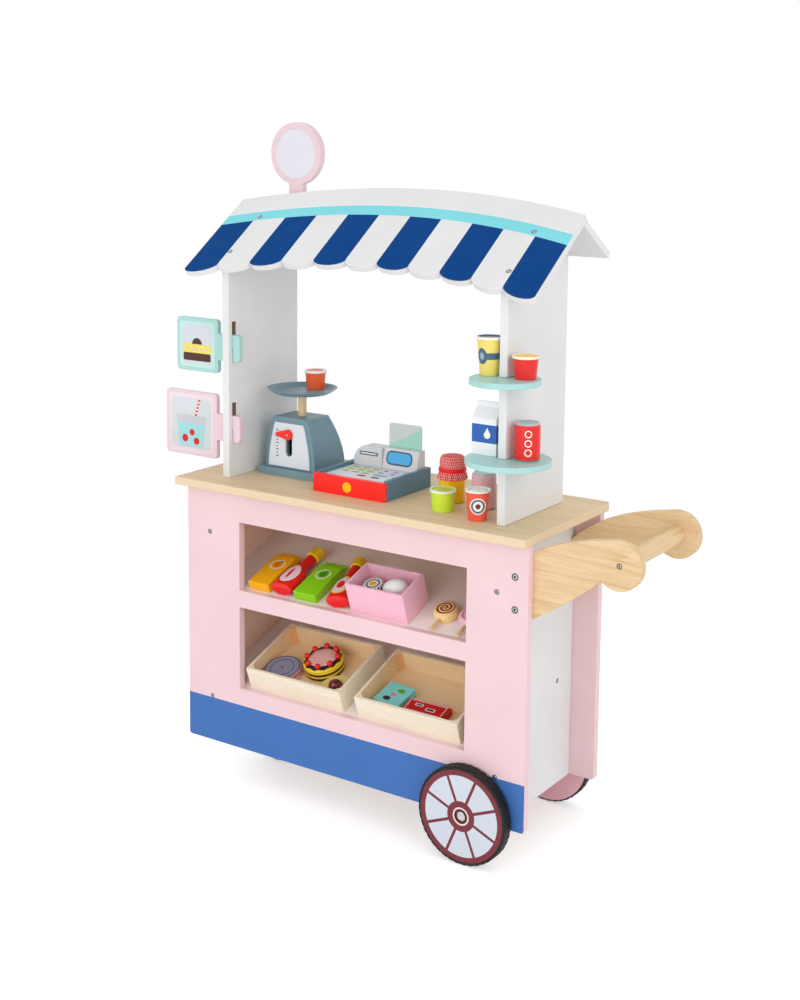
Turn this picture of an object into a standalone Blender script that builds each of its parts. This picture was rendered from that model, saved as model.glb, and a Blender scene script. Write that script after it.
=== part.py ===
"""A toy shop cart: a cabinet with sloping shelves, a counter, a striped awning, a push handle and wheels, and
its play set of scale, register, trays and toy food.

X runs along the counter towards the handle, Y from the customer's side to the back, and Z up from the floor.
The sub-parts are set out from the middle of the counter, and the empty named cart moves that middle so that
the origin lies on the floor at the centre of the whole object.
"""

import math

import bmesh
import bpy
from mathutils import Matrix, Vector

MM = 0.001

# Gaps and clearances
GAP = 0.3 * MM  # between pieces that touch
RUNNING = 0.1 * MM  # radial play round a turning shaft
PLAY = 0.6 * MM  # round a piece that slides or lifts out by hand
SETBACK = 2 * MM  # of what stands on a sloping shelf, from the front panel

# Boards
BOARD = 12 * MM
ROOF_BOARD = 10 * MM
SHELF_BOARD = 8 * MM
SIGN_BOARD = 12 * MM
MENU_BOARD = 8.4 * MM

# Wheels and axle
WHEEL_RADIUS = 68.8 * MM
TYRE = 2.3 * MM
WHEEL_WIDTH = 17.6 * MM
WHEEL_STANDOFF = 3 * MM
AXLE_RADIUS = 4 * MM
AXLE_INSET = 85.5 * MM  # from the right end of the panels
AXLE_EDGE = 9.8 * MM  # above the lower edge of the panels
HUB_RECESS = 10.5 * MM
HUB_RECESS_DEPTH = 3 * MM
NUT_RADIUS = 6.5 * MM
NUT_HEIGHT = 5 * MM

# Counter and cabinet
COUNTER_LENGTH = 606 * MM
COUNTER_DEPTH = 248 * MM
COUNTER_CORNER = 6 * MM
OVERHANG_LEFT = 13 * MM
OVERHANG_RIGHT = 2 * MM
OVERHANG_FRONT = 15 * MM
PANEL_HEIGHT = 395 * MM
PANEL_CORNER = 4 * MM
SIDE_INSET = 39.5 * MM  # from a panel's end to the outer face of a side
WINDOW_INSET_LEFT = 100.5 * MM
WINDOW_INSET_RIGHT = 94.5 * MM
LOWER_SILL = 93.5 * MM  # above the lower edge of the panels
LOWER_WINDOW = 126.5 * MM
UPPER_SILL = 246 * MM
UPPER_WINDOW = 104 * MM
SHELF_SLOPE = math.radians(20)

# Caster
RAIL_WIDTH = 46 * MM
CASTER_PLATE_LENGTH = 42 * MM
CASTER_PLATE_WIDTH = 36 * MM
CASTER_PLATE = 2.5 * MM
CASTER_TRAIL = 12 * MM
CASTER_RADIUS = 22 * MM
CASTER_WIDTH = 16 * MM
CASTER_PLAY = 1 * MM
FORK_SHEET = 2.5 * MM
FORK_CROWN = 16 * MM
FORK_EAR = 0.75 * FORK_CROWN  # half width of an ear at the crown
FORK_TIP_ARC = (-170, -10)  # degrees
CASTER_SHOULDER = 3 * MM
CASTER_CORNER = 4 * MM  # of the caster's plate
FORK_TIP = 7 * MM
KINGPIN_RADIUS = 4 * MM
KINGPIN_REACH = 8 * MM  # into the rail
CASTER_PIN_RADIUS = 3 * MM

# Posts and round shelves
POST_DEPTH = 166 * MM
POST_INSET_LEFT = 61 * MM  # from the counter's end to the post's outer face
POST_INSET_RIGHT = 55 * MM
UPPER_SHELF_HEIGHT = 201 * MM  # top of the shelf above the counter
UPPER_SHELF_RADIUS = 48.2 * MM
UPPER_SHELF_Y = -1 * MM  # of its centre, from the post's front edge
UPPER_LAP = 24 * MM
LOWER_SHELF_HEIGHT = 91 * MM
LOWER_SHELF_RADIUS = 58.6 * MM
LOWER_SHELF_Y = 11 * MM
LOWER_LAP = 32 * MM
SHELF_SHIFT = 4 * MM  # of the round shelves' centres, from the post's middle

# Awning and sign
RIDGE_HEIGHT = 399 * MM  # underside of the ridge above the counter
RIDGE_Y = 21.7 * MM
FRONT_PITCH = math.radians(35.8)
BACK_PITCH = math.radians(33)
STRIPES = 11
STRIPE = 54 * MM
AWNING_ABOVE = 10.7 * MM  # of the ridge, at its ends, up the slope
AWNING_BELOW = 154.5 * MM  # of the ridge, to the ends of the scallop line
AWNING_ARCH = 43 * MM
SCALLOP = 13 * MM
BACK_BOARD_DROP = 86 * MM
SIGN_RADIUS = 47.8 * MM
SIGN_RECESS_RADIUS = 37.5 * MM
SIGN_RECESS = 2 * MM
SIGN_NECK = 25 * MM
SIGN_INSET = 20 * MM  # of the neck's left side, from the left post's outer face
SIGN_HEIGHT = 485.5 * MM  # of its centre above the counter
SIGN_BEHIND = 30 * MM  # of its front face, behind the ridge

# Push handle
HANDLE_REACH = 121 * MM  # of the bar, past the right end of the panels
HANDLE_DROP = 8 * MM  # of the bar, below the top of the panels
HANDLE_END = 33.5 * MM
HANDLE_ROOT_TOP = 32 * MM  # of the arm's root, below the bar
HANDLE_ROOT_BOTTOM = 118 * MM
HANDLE_END_ARC = (-135, 105)  # degrees, from the arm's lower edge round to its upper one
HANDLE_LOW_REACH = 0.46  # shares of the arm's reach, and distances that steer its edges
HANDLE_LOW_RISE = 45 * MM
HANDLE_LOW_BACK = 28 * MM
HANDLE_LOW_DROP = 27 * MM
HANDLE_TOP_REACH = 0.27
HANDLE_TOP_BACK = 57 * MM
HANDLE_TOP_RISE = 24 * MM
HANDLE_ROOT_RISE = 12 * MM
BAR_RADIUS = 12.5 * MM

# Menu boards, hooked through slots in the left post
MENU_Y = -71.5 * MM
MENU_CORNER = 6 * MM
MENU_NECK = 41 * MM
MENU_HOOK = 19.5 * MM
MENU_TAB = 14 * MM
MINT_WIDTH = 82 * MM
MINT_HEIGHT = 82 * MM
MINT_GAP = 16 * MM  # from the board to the post
MINT_MIDDLE = 196 * MM  # above the counter
ROSE_WIDTH = 102 * MM
ROSE_HEIGHT = 100 * MM
ROSE_GAP = 19 * MM
ROSE_MIDDLE = 73 * MM

# Kitchen scale
SCALE_PLACE = 0.1427  # of the way from the left post to the right one
SCALE_Y = 18 * MM
SCALE_BASE_LENGTH = 112 * MM
SCALE_BASE_DEPTH = 96 * MM
SCALE_CORNER = 3 * MM
SCALE_BASE = 11 * MM
SCALE_HEIGHT = 78 * MM
SCALE_FOOT_HALF = 46.5 * MM
SCALE_TOP_HALF = 31.5 * MM
SCALE_FRONT = 38 * MM  # of the body's front face, before the scale's middle
SCALE_FOOT_BACK = 39 * MM
SCALE_TOP_BACK = 16 * MM
SCALE_WALL = 6 * MM
SCALE_BULGE = 1.8
DIAL = 3 * MM
DIAL_MARGIN = 7.5 * MM
DIAL_FOOT = 2.5 * MM
DIAL_TOP = 8 * MM
DIAL_SLOT = 12.5 * MM
DIAL_SLOT_FOOT = 19 * MM  # above the scale's base
DIAL_SLOT_HEIGHT = 42 * MM
DOWEL_RADIUS = 6.5 * MM
DOWEL_Y = -8 * MM
DOWEL_FOOT = 34 * MM
POINTER_ARM = 6 * MM
POINTER_Z = 53 * MM  # above the scale's base
POINTER = 4 * MM
POINTER_HUB = 8 * MM
POINTER_LENGTH = 22 * MM
POINTER_HUB_ARC = 125  # degrees to each side of the hub
POINTER_TIP = 2 * MM
TRAY_Z = 113 * MM  # underside above the scale's base
TRAY_RADIUS = 54 * MM
TRAY_FLOOR = 44 * MM
TRAY_RISE = 8 * MM
TRAY_WALL = 3 * MM
TRAY_HEEL = 2 * MM

# Register
REGISTER_PLACE = 0.459
REGISTER_WIDTH = 126 * MM
REGISTER_DEPTH = 121 * MM
REGISTER_HEIGHT = 29.5 * MM
REGISTER_FRONT = -73 * MM
REGISTER_WALL = 6 * MM
REGISTER_FLOOR = 3 * MM
DECK = 3 * MM
DECK_DROP = 6 * MM
DRAWER_FRONT = 6 * MM
DRAWER_HEIGHT = 27.5 * MM
DRAWER_LENGTH = 96 * MM
DRAWER_WALL = 3.5 * MM
DRAWER_FLOOR = 3 * MM
BLOCK_DEPTH = 23 * MM
BLOCK_HEIGHT = 31 * MM
PRINTER_WIDTH = 51 * MM
PRINTER_ROUND = 25 * MM
SCREEN_LEAN = 7 * MM
CARD_WIDTH = 57 * MM
CARD_HEIGHT = 45 * MM
CARD_THICKNESS = 1.8 * MM
CARD_SLOT = 9 * MM
CARD_BACK = 5 * MM
CARD_CORNER = 4 * MM

# Trays on the shelves
BIN_MARGIN_LEFT = 10.5 * MM
BIN_MARGIN_RIGHT = 13.5 * MM
BIN_SPACE = 26 * MM
BIN_DEPTH = 116 * MM
BIN_HEIGHT = 34.5 * MM
BIN_WALL = 4.5 * MM
BIN_BLOCK = 13 * MM
TUB_WIDTH = 98 * MM
TUB_DEPTH = 58 * MM
TUB_HEIGHT = 48 * MM
TUB_WALL = 4 * MM

# Toys on the upper shelf, in a row across the window
ORANGE_CARTON_WIDTH = 38 * MM
GREEN_CARTON_WIDTH = 40 * MM
CARTON_BODY = 72 * MM
CARTON_SHOULDER = 8 * MM
CARTON_FIN = 6 * MM
CARTON_THICKNESS = 14 * MM
CARTON_FIN_THICKNESS = 3 * MM
BOTTLE_WIDTH = 38 * MM
BOTTLE_THICKNESS = 22 * MM
BOTTLE_LENGTH = 103 * MM
BOTTLE_NECK = 17 * MM
BOTTLE_CAP = 22 * MM
BOTTLE_CAP_LENGTH = 20 * MM
BOTTLE_LEAN = math.radians(14)
LOLLIPOP_RADIUS = 19 * MM
LOLLIPOP_THICKNESS = 17 * MM
LOLLIPOP_STICK_RADIUS = 3 * MM
LOLLIPOP_STICK = 22 * MM
LOLLIPOP_UP = 33 * MM  # of the disc's middle, from the front panel
ROUNDING = 2 * MM  # of the edges of round toys
ROW_GAPS = (0.09, 0.04, 0.05, 0.145, 0.03, 0.24)  # shares of the window's spare length before each piece

# Toys in the trays: radii and lengths as shares of a tray's inner length, as they are made to lie in it
LAYER_BISCUIT_SHARE = 0.183
LAYER_BISCUIT_PLACE = 0.192  # of its middle, as a share of the inner length from the left
LAYER_BISCUIT = 12 * MM
LAYER_BISCUIT_UP = 38 * MM
CAKE_SHARE = 0.189
CAKE_PLACE = 0.54
CAKE = 20 * MM
CAKE_UP = 69 * MM
BALL_BISCUIT_SHARE = 0.165
BALL_BISCUIT_PLACE = 0.82
BALL_BISCUIT = 8 * MM
BALL_BISCUIT_UP = 32.5 * MM
BALL_SHARE = 0.4  # of the biscuit's radius
SWEETS_SHARE = 0.274
SWEETS_PLACE = 0.205
SWEETS_BOX = 12 * MM
SWEETS_UP = 43 * MM
SWEETS_TURN = math.radians(-7)
CHOCOLATE_SHARE = 0.4
CHOCOLATE_PLACE = 0.585
CHOCOLATE_DEPTH = 34 * MM
CHOCOLATE_BOX = 14 * MM
CHOCOLATE_UP = 30 * MM
CHOCOLATE_EDGE = 5 * MM

# Toys on the counter
JAR_RADIUS = 18.3 * MM
JAR_HEIGHT = 67 * MM
JAR_SKIRT = 33 * MM  # lower edge of the cloth
JAR_GATHER = 46 * MM  # height of the ribbon
JAR_FLARE = 3.2 * MM
JAR_Y = -5 * MM
CUP_RIM = 4 * MM
CUP_LIP = 0.6 * MM
CUP_SINK = 1.5 * MM
LIME_CUP_RADIUS = 17.8 * MM
LIME_CUP_FOOT = 15.5 * MM
LIME_CUP_HEIGHT = 30 * MM
LIME_CUP_Y = -57 * MM
CORAL_CUP_RADIUS = 17 * MM
CORAL_CUP_FOOT = 13 * MM
CORAL_CUP_HEIGHT = 42 * MM
CORAL_CUP_Y = -71 * MM
ORANGE_CUP_RADIUS = 16.4 * MM
ORANGE_CUP_FOOT = 13.8 * MM
ORANGE_CUP_HEIGHT = 29 * MM
ORANGE_CUP_ASIDE = 5 * MM  # of the dowel
ORANGE_CUP_BEHIND = 27 * MM
CAN_RADIUS = 17.5 * MM
CAN_HEIGHT = 51 * MM
CAN_NECK = 2.5 * MM
CAN_SHOULDER = 4 * MM
PINK_CAN_Y = -11.6 * MM
JAR_PLACE = 0.745
LIME_CUP_PLACE = 0.782
PINK_CAN_PLACE = 0.866
CORAL_CUP_PLACE = 0.9206

# Toys on the round shelves, set out from the post's faces and its front edge
COFFEE_CUP_RADIUS = 17.7 * MM
COFFEE_CUP_FOOT = 13 * MM
COFFEE_CUP_HEIGHT = 52 * MM
COFFEE_CUP_ASIDE = 20.5 * MM
COFFEE_CUP_BACK = 9 * MM
RED_CUP_RADIUS = 17.7 * MM
RED_CUP_FOOT = 14.5 * MM
RED_CUP_HEIGHT = 31 * MM
RED_CUP_ASIDE = 22 * MM
RED_CUP_BACK = 10 * MM
RED_CAN_ASIDE = 22.5 * MM
RED_CAN_BACK = 18 * MM
MILK_WIDTH = 38 * MM
MILK_DEPTH = 30 * MM
MILK_BODY = 50 * MM
MILK_GABLE = 14 * MM
MILK_FIN = 7 * MM
MILK_FIN_THICKNESS = 4 * MM
MILK_ASIDE = 26 * MM
MILK_BACK = 22 * MM

# Sides of the turned pieces
LARGE_SIDES = 48
CUP_SIDES = 28
ROD_SIDES = 20

# Places worked out from the sizes above
AXLE_Z = WHEEL_RADIUS
PANEL_BOTTOM = AXLE_Z - AXLE_EDGE
PANEL_TOP = PANEL_BOTTOM + PANEL_HEIGHT
PANEL_LEFT = -COUNTER_LENGTH / 2 + OVERHANG_LEFT
PANEL_RIGHT = COUNTER_LENGTH / 2 - OVERHANG_RIGHT
PANEL_FACE = COUNTER_DEPTH / 2 - OVERHANG_FRONT  # outer faces at this distance before and behind
PANEL_INNER = PANEL_FACE - BOARD
SIDE_LEFT = PANEL_LEFT + SIDE_INSET + BOARD  # inner faces of the sides
SIDE_RIGHT = PANEL_RIGHT - SIDE_INSET - BOARD
WINDOW_LEFT = PANEL_LEFT + WINDOW_INSET_LEFT
WINDOW_RIGHT = PANEL_RIGHT - WINDOW_INSET_RIGHT
WINDOW_LENGTH = WINDOW_RIGHT - WINDOW_LEFT
LOWER_SILL_Z = PANEL_BOTTOM + LOWER_SILL
UPPER_SILL_Z = PANEL_BOTTOM + UPPER_SILL
AXLE_X = PANEL_RIGHT - AXLE_INSET
WHEEL_INNER = PANEL_FACE + WHEEL_STANDOFF
WHEEL_OUTER = WHEEL_INNER + WHEEL_WIDTH
SWIVEL_X = SIDE_LEFT + GAP + RAIL_WIDTH / 2
CASTER_X = SWIVEL_X + CASTER_TRAIL
COUNTER_UNDER = PANEL_TOP + GAP
COUNTER_TOP = COUNTER_UNDER + BOARD
ON_COUNTER = COUNTER_TOP + GAP
LEFT_POST_OUTER = -COUNTER_LENGTH / 2 + POST_INSET_LEFT
LEFT_POST_INNER = LEFT_POST_OUTER + BOARD
RIGHT_POST_OUTER = COUNTER_LENGTH / 2 - POST_INSET_RIGHT
RIGHT_POST_INNER = RIGHT_POST_OUTER - BOARD
POST_FRONT = -POST_DEPTH / 2
UPPER_SHELF_Z = COUNTER_TOP + UPPER_SHELF_HEIGHT
LOWER_SHELF_Z = COUNTER_TOP + LOWER_SHELF_HEIGHT
SHELF_X = (RIGHT_POST_INNER + RIGHT_POST_OUTER) / 2 + SHELF_SHIFT
RIDGE_Z = COUNTER_TOP + RIDGE_HEIGHT
AWNING_LENGTH = STRIPES * STRIPE
AWNING_X = (PANEL_LEFT + PANEL_RIGHT) / 2
SIGN_X = LEFT_POST_OUTER + SIGN_INSET + SIGN_NECK / 2
SIGN_Z = COUNTER_TOP + SIGN_HEIGHT
SIGN_Y = RIDGE_Y + SIGN_BEHIND
BAR_X = PANEL_RIGHT + HANDLE_REACH
BAR_Z = PANEL_TOP - HANDLE_DROP
ARM_INNER = PANEL_INNER - GAP - BOARD
SCALE_X = LEFT_POST_INNER + SCALE_PLACE * (RIGHT_POST_INNER - LEFT_POST_INNER)
SCALE_BASE_TOP = ON_COUNTER + SCALE_BASE
SCALE_FACE = SCALE_Y - SCALE_FRONT
DOWEL_PLACE = SCALE_Y + DOWEL_Y
REGISTER_X = LEFT_POST_INNER + REGISTER_PLACE * (RIGHT_POST_INNER - LEFT_POST_INNER)
REGISTER_LEFT = REGISTER_X - REGISTER_WIDTH / 2 + REGISTER_WALL  # inner faces
REGISTER_RIGHT = REGISTER_X + REGISTER_WIDTH / 2 - REGISTER_WALL
REGISTER_BACK = REGISTER_FRONT + REGISTER_DEPTH - REGISTER_WALL
REGISTER_BODY_FRONT = REGISTER_FRONT + DRAWER_FRONT + GAP
DECK_TOP = ON_COUNTER + REGISTER_HEIGHT - DECK_DROP
BLOCK_SPLIT = REGISTER_LEFT + GAP + PRINTER_WIDTH
BLOCK_FRONT = REGISTER_BACK - GAP - BLOCK_DEPTH
CARD_Y = REGISTER_BACK - GAP - CARD_BACK - CARD_THICKNESS / 2
BIN_LENGTH = (WINDOW_LENGTH - BIN_MARGIN_LEFT - BIN_MARGIN_RIGHT - BIN_SPACE) / 2
LEFT_BIN_X = WINDOW_LEFT + BIN_MARGIN_LEFT + BIN_LENGTH / 2
RIGHT_BIN_X = WINDOW_RIGHT - BIN_MARGIN_RIGHT - BIN_LENGTH / 2
TRAY_INSIDE = BIN_LENGTH - 2 * BIN_WALL
LEFT_REACH = LEFT_POST_OUTER - ROSE_GAP - ROSE_WIDTH
RIGHT_REACH = BAR_X + HANDLE_END
CART_SHIFT = -(LEFT_REACH + RIGHT_REACH) / 2

# Colours as red, green, blue in 0 to 1, then roughness and metallic
FINISHES = {
    "pink_paint": ((0.80, 0.58, 0.60), 0.5, 0.0),
    "white_paint": ((0.80, 0.80, 0.81), 0.5, 0.0),
    "light_wood": ((0.66, 0.48, 0.28), 0.6, 0.0),
    "pine": ((0.78, 0.55, 0.30), 0.6, 0.0),
    "mint_paint": ((0.40, 0.66, 0.62), 0.5, 0.0),
    "rose_paint": ((0.80, 0.60, 0.66), 0.5, 0.0),
    "blue_paint": ((0.02, 0.10, 0.33), 0.5, 0.0),
    "maroon_paint": ((0.25, 0.04, 0.06), 0.5, 0.0),
    "slate_paint": ((0.10, 0.18, 0.22), 0.5, 0.0),
    "pale_grey": ((0.60, 0.62, 0.65), 0.5, 0.0),
    "red_paint": ((0.85, 0.04, 0.02), 0.4, 0.0),
    "yellow_paint": ((0.90, 0.58, 0.02), 0.4, 0.0),
    "lime_paint": ((0.52, 0.80, 0.05), 0.4, 0.0),
    "green_paint": ((0.15, 0.50, 0.02), 0.4, 0.0),
    "orange_paint": ((0.92, 0.35, 0.01), 0.4, 0.0),
    "coral_paint": ((0.90, 0.15, 0.06), 0.4, 0.0),
    "can_pink": ((0.78, 0.45, 0.48), 0.4, 0.0),
    "cream_yellow": ((0.85, 0.72, 0.30), 0.4, 0.0),
    "teal_paint": ((0.20, 0.62, 0.60), 0.4, 0.0),
    "lavender_grey": ((0.28, 0.27, 0.36), 0.5, 0.0),
    "black_rubber": ((0.01, 0.01, 0.01), 0.7, 0.0),
    "grey_plastic": ((0.10, 0.10, 0.11), 0.5, 0.0),
    "zinc": ((0.60, 0.60, 0.62), 0.3, 1.0),
}


def clear_scene():
    for obj in list(bpy.data.objects):
        bpy.data.objects.remove(obj)


def material(name):
    found = bpy.data.materials.get(name)
    if found:
        return found
    colour, roughness, metallic = FINISHES[name]
    made = bpy.data.materials.new(name)
    made.use_nodes = True
    shader = made.node_tree.nodes["Principled BSDF"]
    shader.inputs["Base Color"].default_value = (*colour, 1.0)
    shader.inputs["Roughness"].default_value = roughness
    shader.inputs["Metallic"].default_value = metallic
    made.diffuse_color = (*colour, 1.0)
    return made


def add(name, bm, finish, at=(0, 0, 0), tilt=0.0, turn=0.0, smooth=False):
    """An object of the mesh bm, turned about Z, tilted about X and placed from the middle of the counter."""
    bmesh.ops.recalc_face_normals(bm, faces=bm.faces)
    mesh = bpy.data.meshes.new(name)
    bm.to_mesh(mesh)
    bm.free()
    if smooth:
        mesh.shade_smooth()
        mesh.set_sharp_from_angle(angle=math.radians(35))
    obj = bpy.data.objects.new(name, mesh)
    bpy.context.scene.collection.objects.link(obj)
    obj.parent = bpy.data.objects["cart"]
    obj.matrix_local = Matrix.Translation(at) @ Matrix.Rotation(tilt, 4, "X") @ Matrix.Rotation(turn, 4, "Z")
    if finish:
        mesh.materials.append(material(finish))
    return obj


def boolean(obj, bm, operation, at=(0, 0, 0), tilt=0.0, turn=0.0):
    """Cuts the mesh bm from obj, or joins it to obj. The helper keeps out of renders."""
    number = len(obj.modifiers) + 1
    helper = add(f"{obj.name}_{operation.lower()}_{number}", bm, None, at, tilt, turn)
    helper.hide_render = True
    helper.display_type = "WIRE"
    modifier = obj.modifiers.new(helper.name, "BOOLEAN")
    modifier.operation = operation
    modifier.solver = "EXACT"
    modifier.object = helper
    return obj


def cut(obj, bm, **place):
    return boolean(obj, bm, "DIFFERENCE", **place)


def join(obj, bm, **place):
    return boolean(obj, bm, "UNION", **place)


def block(low, high):
    """A box between two opposite corners."""
    bm = bmesh.new()
    bmesh.ops.create_cube(bm, size=1)
    low, high = Vector(low), Vector(high)
    middle, size = (low + high) / 2, high - low
    for vert in bm.verts:
        vert.co = Vector(middle[i] + vert.co[i] * size[i] for i in range(3))
    return bm


def prism(outline, low, high, axis):
    """A flat outline carried from low to high along an axis: (x, z) points along Y, (y, z) along X."""
    places = {
        "X": lambda a, b, h: (h, a, b),
        "Y": lambda a, b, h: (a, h, b),
        "Z": lambda a, b, h: (a, b, h),
    }
    bm = bmesh.new()
    face = bm.faces.new([bm.verts.new(places[axis](a, b, low)) for a, b in outline])
    step = Vector(places[axis](0, 0, high)) - Vector(places[axis](0, 0, low))
    made = bmesh.ops.extrude_face_region(bm, geom=[face])
    moved = [item for item in made["geom"] if isinstance(item, bmesh.types.BMVert)]
    bmesh.ops.translate(bm, verts=moved, vec=step)
    return bm


def turned(profile, sides, hollow=False, axis="Z"):
    """A profile of (radius, height) points spun round an axis. A hollow one closes round a bore."""
    bm = bmesh.new()
    verts = [bm.verts.new((radius, 0, height)) for radius, height in profile]
    edges = [bm.edges.new(pair) for pair in zip(verts, verts[1:])]
    if hollow:
        edges.append(bm.edges.new((verts[-1], verts[0])))
    bmesh.ops.spin(
        bm, geom=verts + edges, cent=(0, 0, 0), axis=(0, 0, 1), angle=math.tau, steps=sides, use_merge=True
    )
    bmesh.ops.remove_doubles(bm, verts=bm.verts, dist=0.001 * MM)
    if axis == "Y":
        bmesh.ops.rotate(bm, verts=bm.verts, cent=(0, 0, 0), matrix=Matrix.Rotation(-math.pi / 2, 3, "X"))
    return bm


def lofted(rings):
    """A solid through rings of equally many points, closed by the first and the last ring."""
    bm = bmesh.new()
    loops = [[bm.verts.new(point) for point in ring] for ring in rings]
    bm.faces.new(loops[0])
    bm.faces.new(loops[-1])
    for lower, upper in zip(loops, loops[1:]):
        for i in range(len(lower)):
            j = (i + 1) % len(lower)
            bm.faces.new((lower[i], lower[j], upper[j], upper[i]))
    return bm


def rod(radius, low, high, sides, axis="Z"):
    """A round bar between two heights along an axis."""
    return turned([(0, high), (radius, high), (radius, low), (0, low)], sides, axis=axis)


def bore(radius, play, sides):
    """Radius of a many-sided hole that clears a shaft by the play at its flats."""
    return (radius + play) / math.cos(math.pi / sides)


def arc(centre, radius, start, end, steps):
    """Points round a centre, from the start angle to the end angle in degrees."""
    angles = [math.radians(start + (end - start) * i / steps) for i in range(steps + 1)]
    return [(centre[0] + radius * math.cos(a), centre[1] + radius * math.sin(a)) for a in angles]


def rounded(left, right, low, high, radii, steps=4):
    """A rectangle with corners of the radii lower left, lower right, upper right and upper left."""
    signs = ((1, 1), (-1, 1), (-1, -1), (1, -1))
    corners = ((left, low), (right, low), (right, high), (left, high))
    points = []
    for i in range(4):
        centre = (corners[i][0] + signs[i][0] * radii[i], corners[i][1] + signs[i][1] * radii[i])
        points += arc(centre, radii[i], 180 + 90 * i, 270 + 90 * i, steps) if radii[i] else [corners[i]]
    return points


def curve(start, first, second, end, steps):
    """Points of a cubic curve, without its start."""
    points = []
    for i in range(1, steps + 1):
        t = i / steps
        weights = ((1 - t) ** 3, 3 * t * (1 - t) ** 2, 3 * t * t * (1 - t), t**3)
        controls = (start, first, second, end)
        points.append(tuple(sum(w * p[k] for w, p in zip(weights, controls)) for k in (0, 1)))
    return points


def on_slope(sill_z, x, up, rise=GAP):
    """A point at a distance up a sloping shelf from the front panel, and at a height square to the shelf."""
    across = up * math.cos(SHELF_SLOPE) - rise * math.sin(SHELF_SLOPE)
    height = up * math.sin(SHELF_SLOPE) + rise * math.cos(SHELF_SLOPE)
    return (x, -PANEL_INNER + across, sill_z + height)


def between_posts(place):
    return LEFT_POST_INNER + place * (RIGHT_POST_INNER - LEFT_POST_INNER)


def axle_hole(length):
    radius = bore(AXLE_RADIUS, RUNNING, ROD_SIDES)
    return turned([(0, length), (radius, length), (radius, -length), (0, -length)], ROD_SIDES, axis="Y")


def panels():
    outline = rounded(PANEL_LEFT, PANEL_RIGHT, PANEL_BOTTOM, PANEL_TOP, (PANEL_CORNER, PANEL_CORNER, 0, 0))
    front = add("front_panel", prism(outline, -PANEL_FACE, -PANEL_INNER, "Y"), "pink_paint")
    rear = add("rear_panel", prism(outline, PANEL_INNER, PANEL_FACE, "Y"), "pink_paint")
    for sill, height in ((LOWER_SILL_Z, LOWER_WINDOW), (UPPER_SILL_Z, UPPER_WINDOW)):
        low = (WINDOW_LEFT, -PANEL_FACE - BOARD, sill)
        cut(front, block(low, (WINDOW_RIGHT, -PANEL_INNER + BOARD, sill + height)))
    for panel, y in ((front, -PANEL_FACE), (rear, PANEL_FACE)):
        cut(panel, axle_hole(2 * BOARD), at=(AXLE_X, y, AXLE_Z))


def sides():
    half = PANEL_INNER - GAP
    for name, left in (("left_side_panel", SIDE_LEFT - BOARD), ("right_side_panel", SIDE_RIGHT)):
        add(name, block((left, -half, PANEL_BOTTOM), (left + BOARD, half, PANEL_TOP)), "white_paint")


def sloping_shelf(name, sill_z):
    """A board whose top leaves the window's sill and climbs to the rear panel."""
    half = PANEL_INNER - GAP
    front = sill_z + GAP * math.tan(SHELF_SLOPE)
    back = front + 2 * half * math.tan(SHELF_SLOPE)
    under = BOARD / math.cos(SHELF_SLOPE)
    outline = [(-half, front - under), (half, back - under), (half, back), (-half, front)]
    add(name, prism(outline, SIDE_LEFT + GAP, SIDE_RIGHT - GAP, "X"), "white_paint")


def countertop():
    x, y = COUNTER_LENGTH / 2, COUNTER_DEPTH / 2
    outline = rounded(-x, x, -y, y, (0, 0, COUNTER_CORNER, 0))
    add("countertop", prism(outline, COUNTER_UNDER, COUNTER_TOP, "Z"), "light_wood")


def post_outline():
    """The post's side view: its top meets the undersides of the two awning boards."""
    top = RIDGE_Z - GAP / math.cos(FRONT_PITCH)
    front = top - (RIDGE_Y - POST_FRONT) * math.tan(FRONT_PITCH)
    back = top - (-POST_FRONT - RIDGE_Y) * math.tan(BACK_PITCH)
    foot = [(POST_FRONT, ON_COUNTER), (-POST_FRONT, ON_COUNTER)]
    return foot + [(-POST_FRONT, back), (RIDGE_Y, top), (POST_FRONT, front)]


def menu_heights(middle):
    """Lower edge of the neck, lower edge of the slot, upper edge of the neck and upper edge of the slot."""
    neck_low = COUNTER_TOP + middle - MENU_NECK / 2
    neck_top = neck_low + MENU_NECK
    return neck_low, neck_low + MENU_HOOK, neck_top, neck_top + MENU_HOOK + PLAY


def posts():
    left = add("left_post", prism(post_outline(), LEFT_POST_OUTER, LEFT_POST_INNER, "X"), "white_paint")
    half = MENU_BOARD / 2 + PLAY / 2
    for middle in (MINT_MIDDLE, ROSE_MIDDLE):
        _, slot_low, _, slot_top = menu_heights(middle)
        low = (LEFT_POST_OUTER - BOARD, MENU_Y - half, slot_low)
        cut(left, block(low, (LEFT_POST_INNER + BOARD, MENU_Y + half, slot_top)))
    right = add("right_post", prism(post_outline(), RIGHT_POST_INNER, RIGHT_POST_OUTER, "X"), "white_paint")
    for top, lap in ((UPPER_SHELF_Z, UPPER_LAP), (LOWER_SHELF_Z, LOWER_LAP)):
        low = (RIGHT_POST_INNER - BOARD, POST_FRONT - BOARD, top - SHELF_BOARD - GAP)
        cut(right, block(low, (RIGHT_POST_OUTER + BOARD, POST_FRONT + lap, top + GAP)))


def round_shelf(name, top, radius, centre_y, lap):
    """A disc slotted from its back edge, crossed over the notch in the post's front edge."""
    y = POST_FRONT + centre_y
    profile = [(0, top), (radius, top), (radius, top - SHELF_BOARD), (0, top - SHELF_BOARD)]
    disc = add(name, turned(profile, LARGE_SIDES), "mint_paint", at=(SHELF_X, y, 0), smooth=True)
    low = (RIGHT_POST_INNER - GAP, POST_FRONT + lap - GAP, top - 2 * SHELF_BOARD)
    cut(disc, block(low, (RIGHT_POST_OUTER + GAP, y + 2 * radius, top + SHELF_BOARD)))


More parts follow.
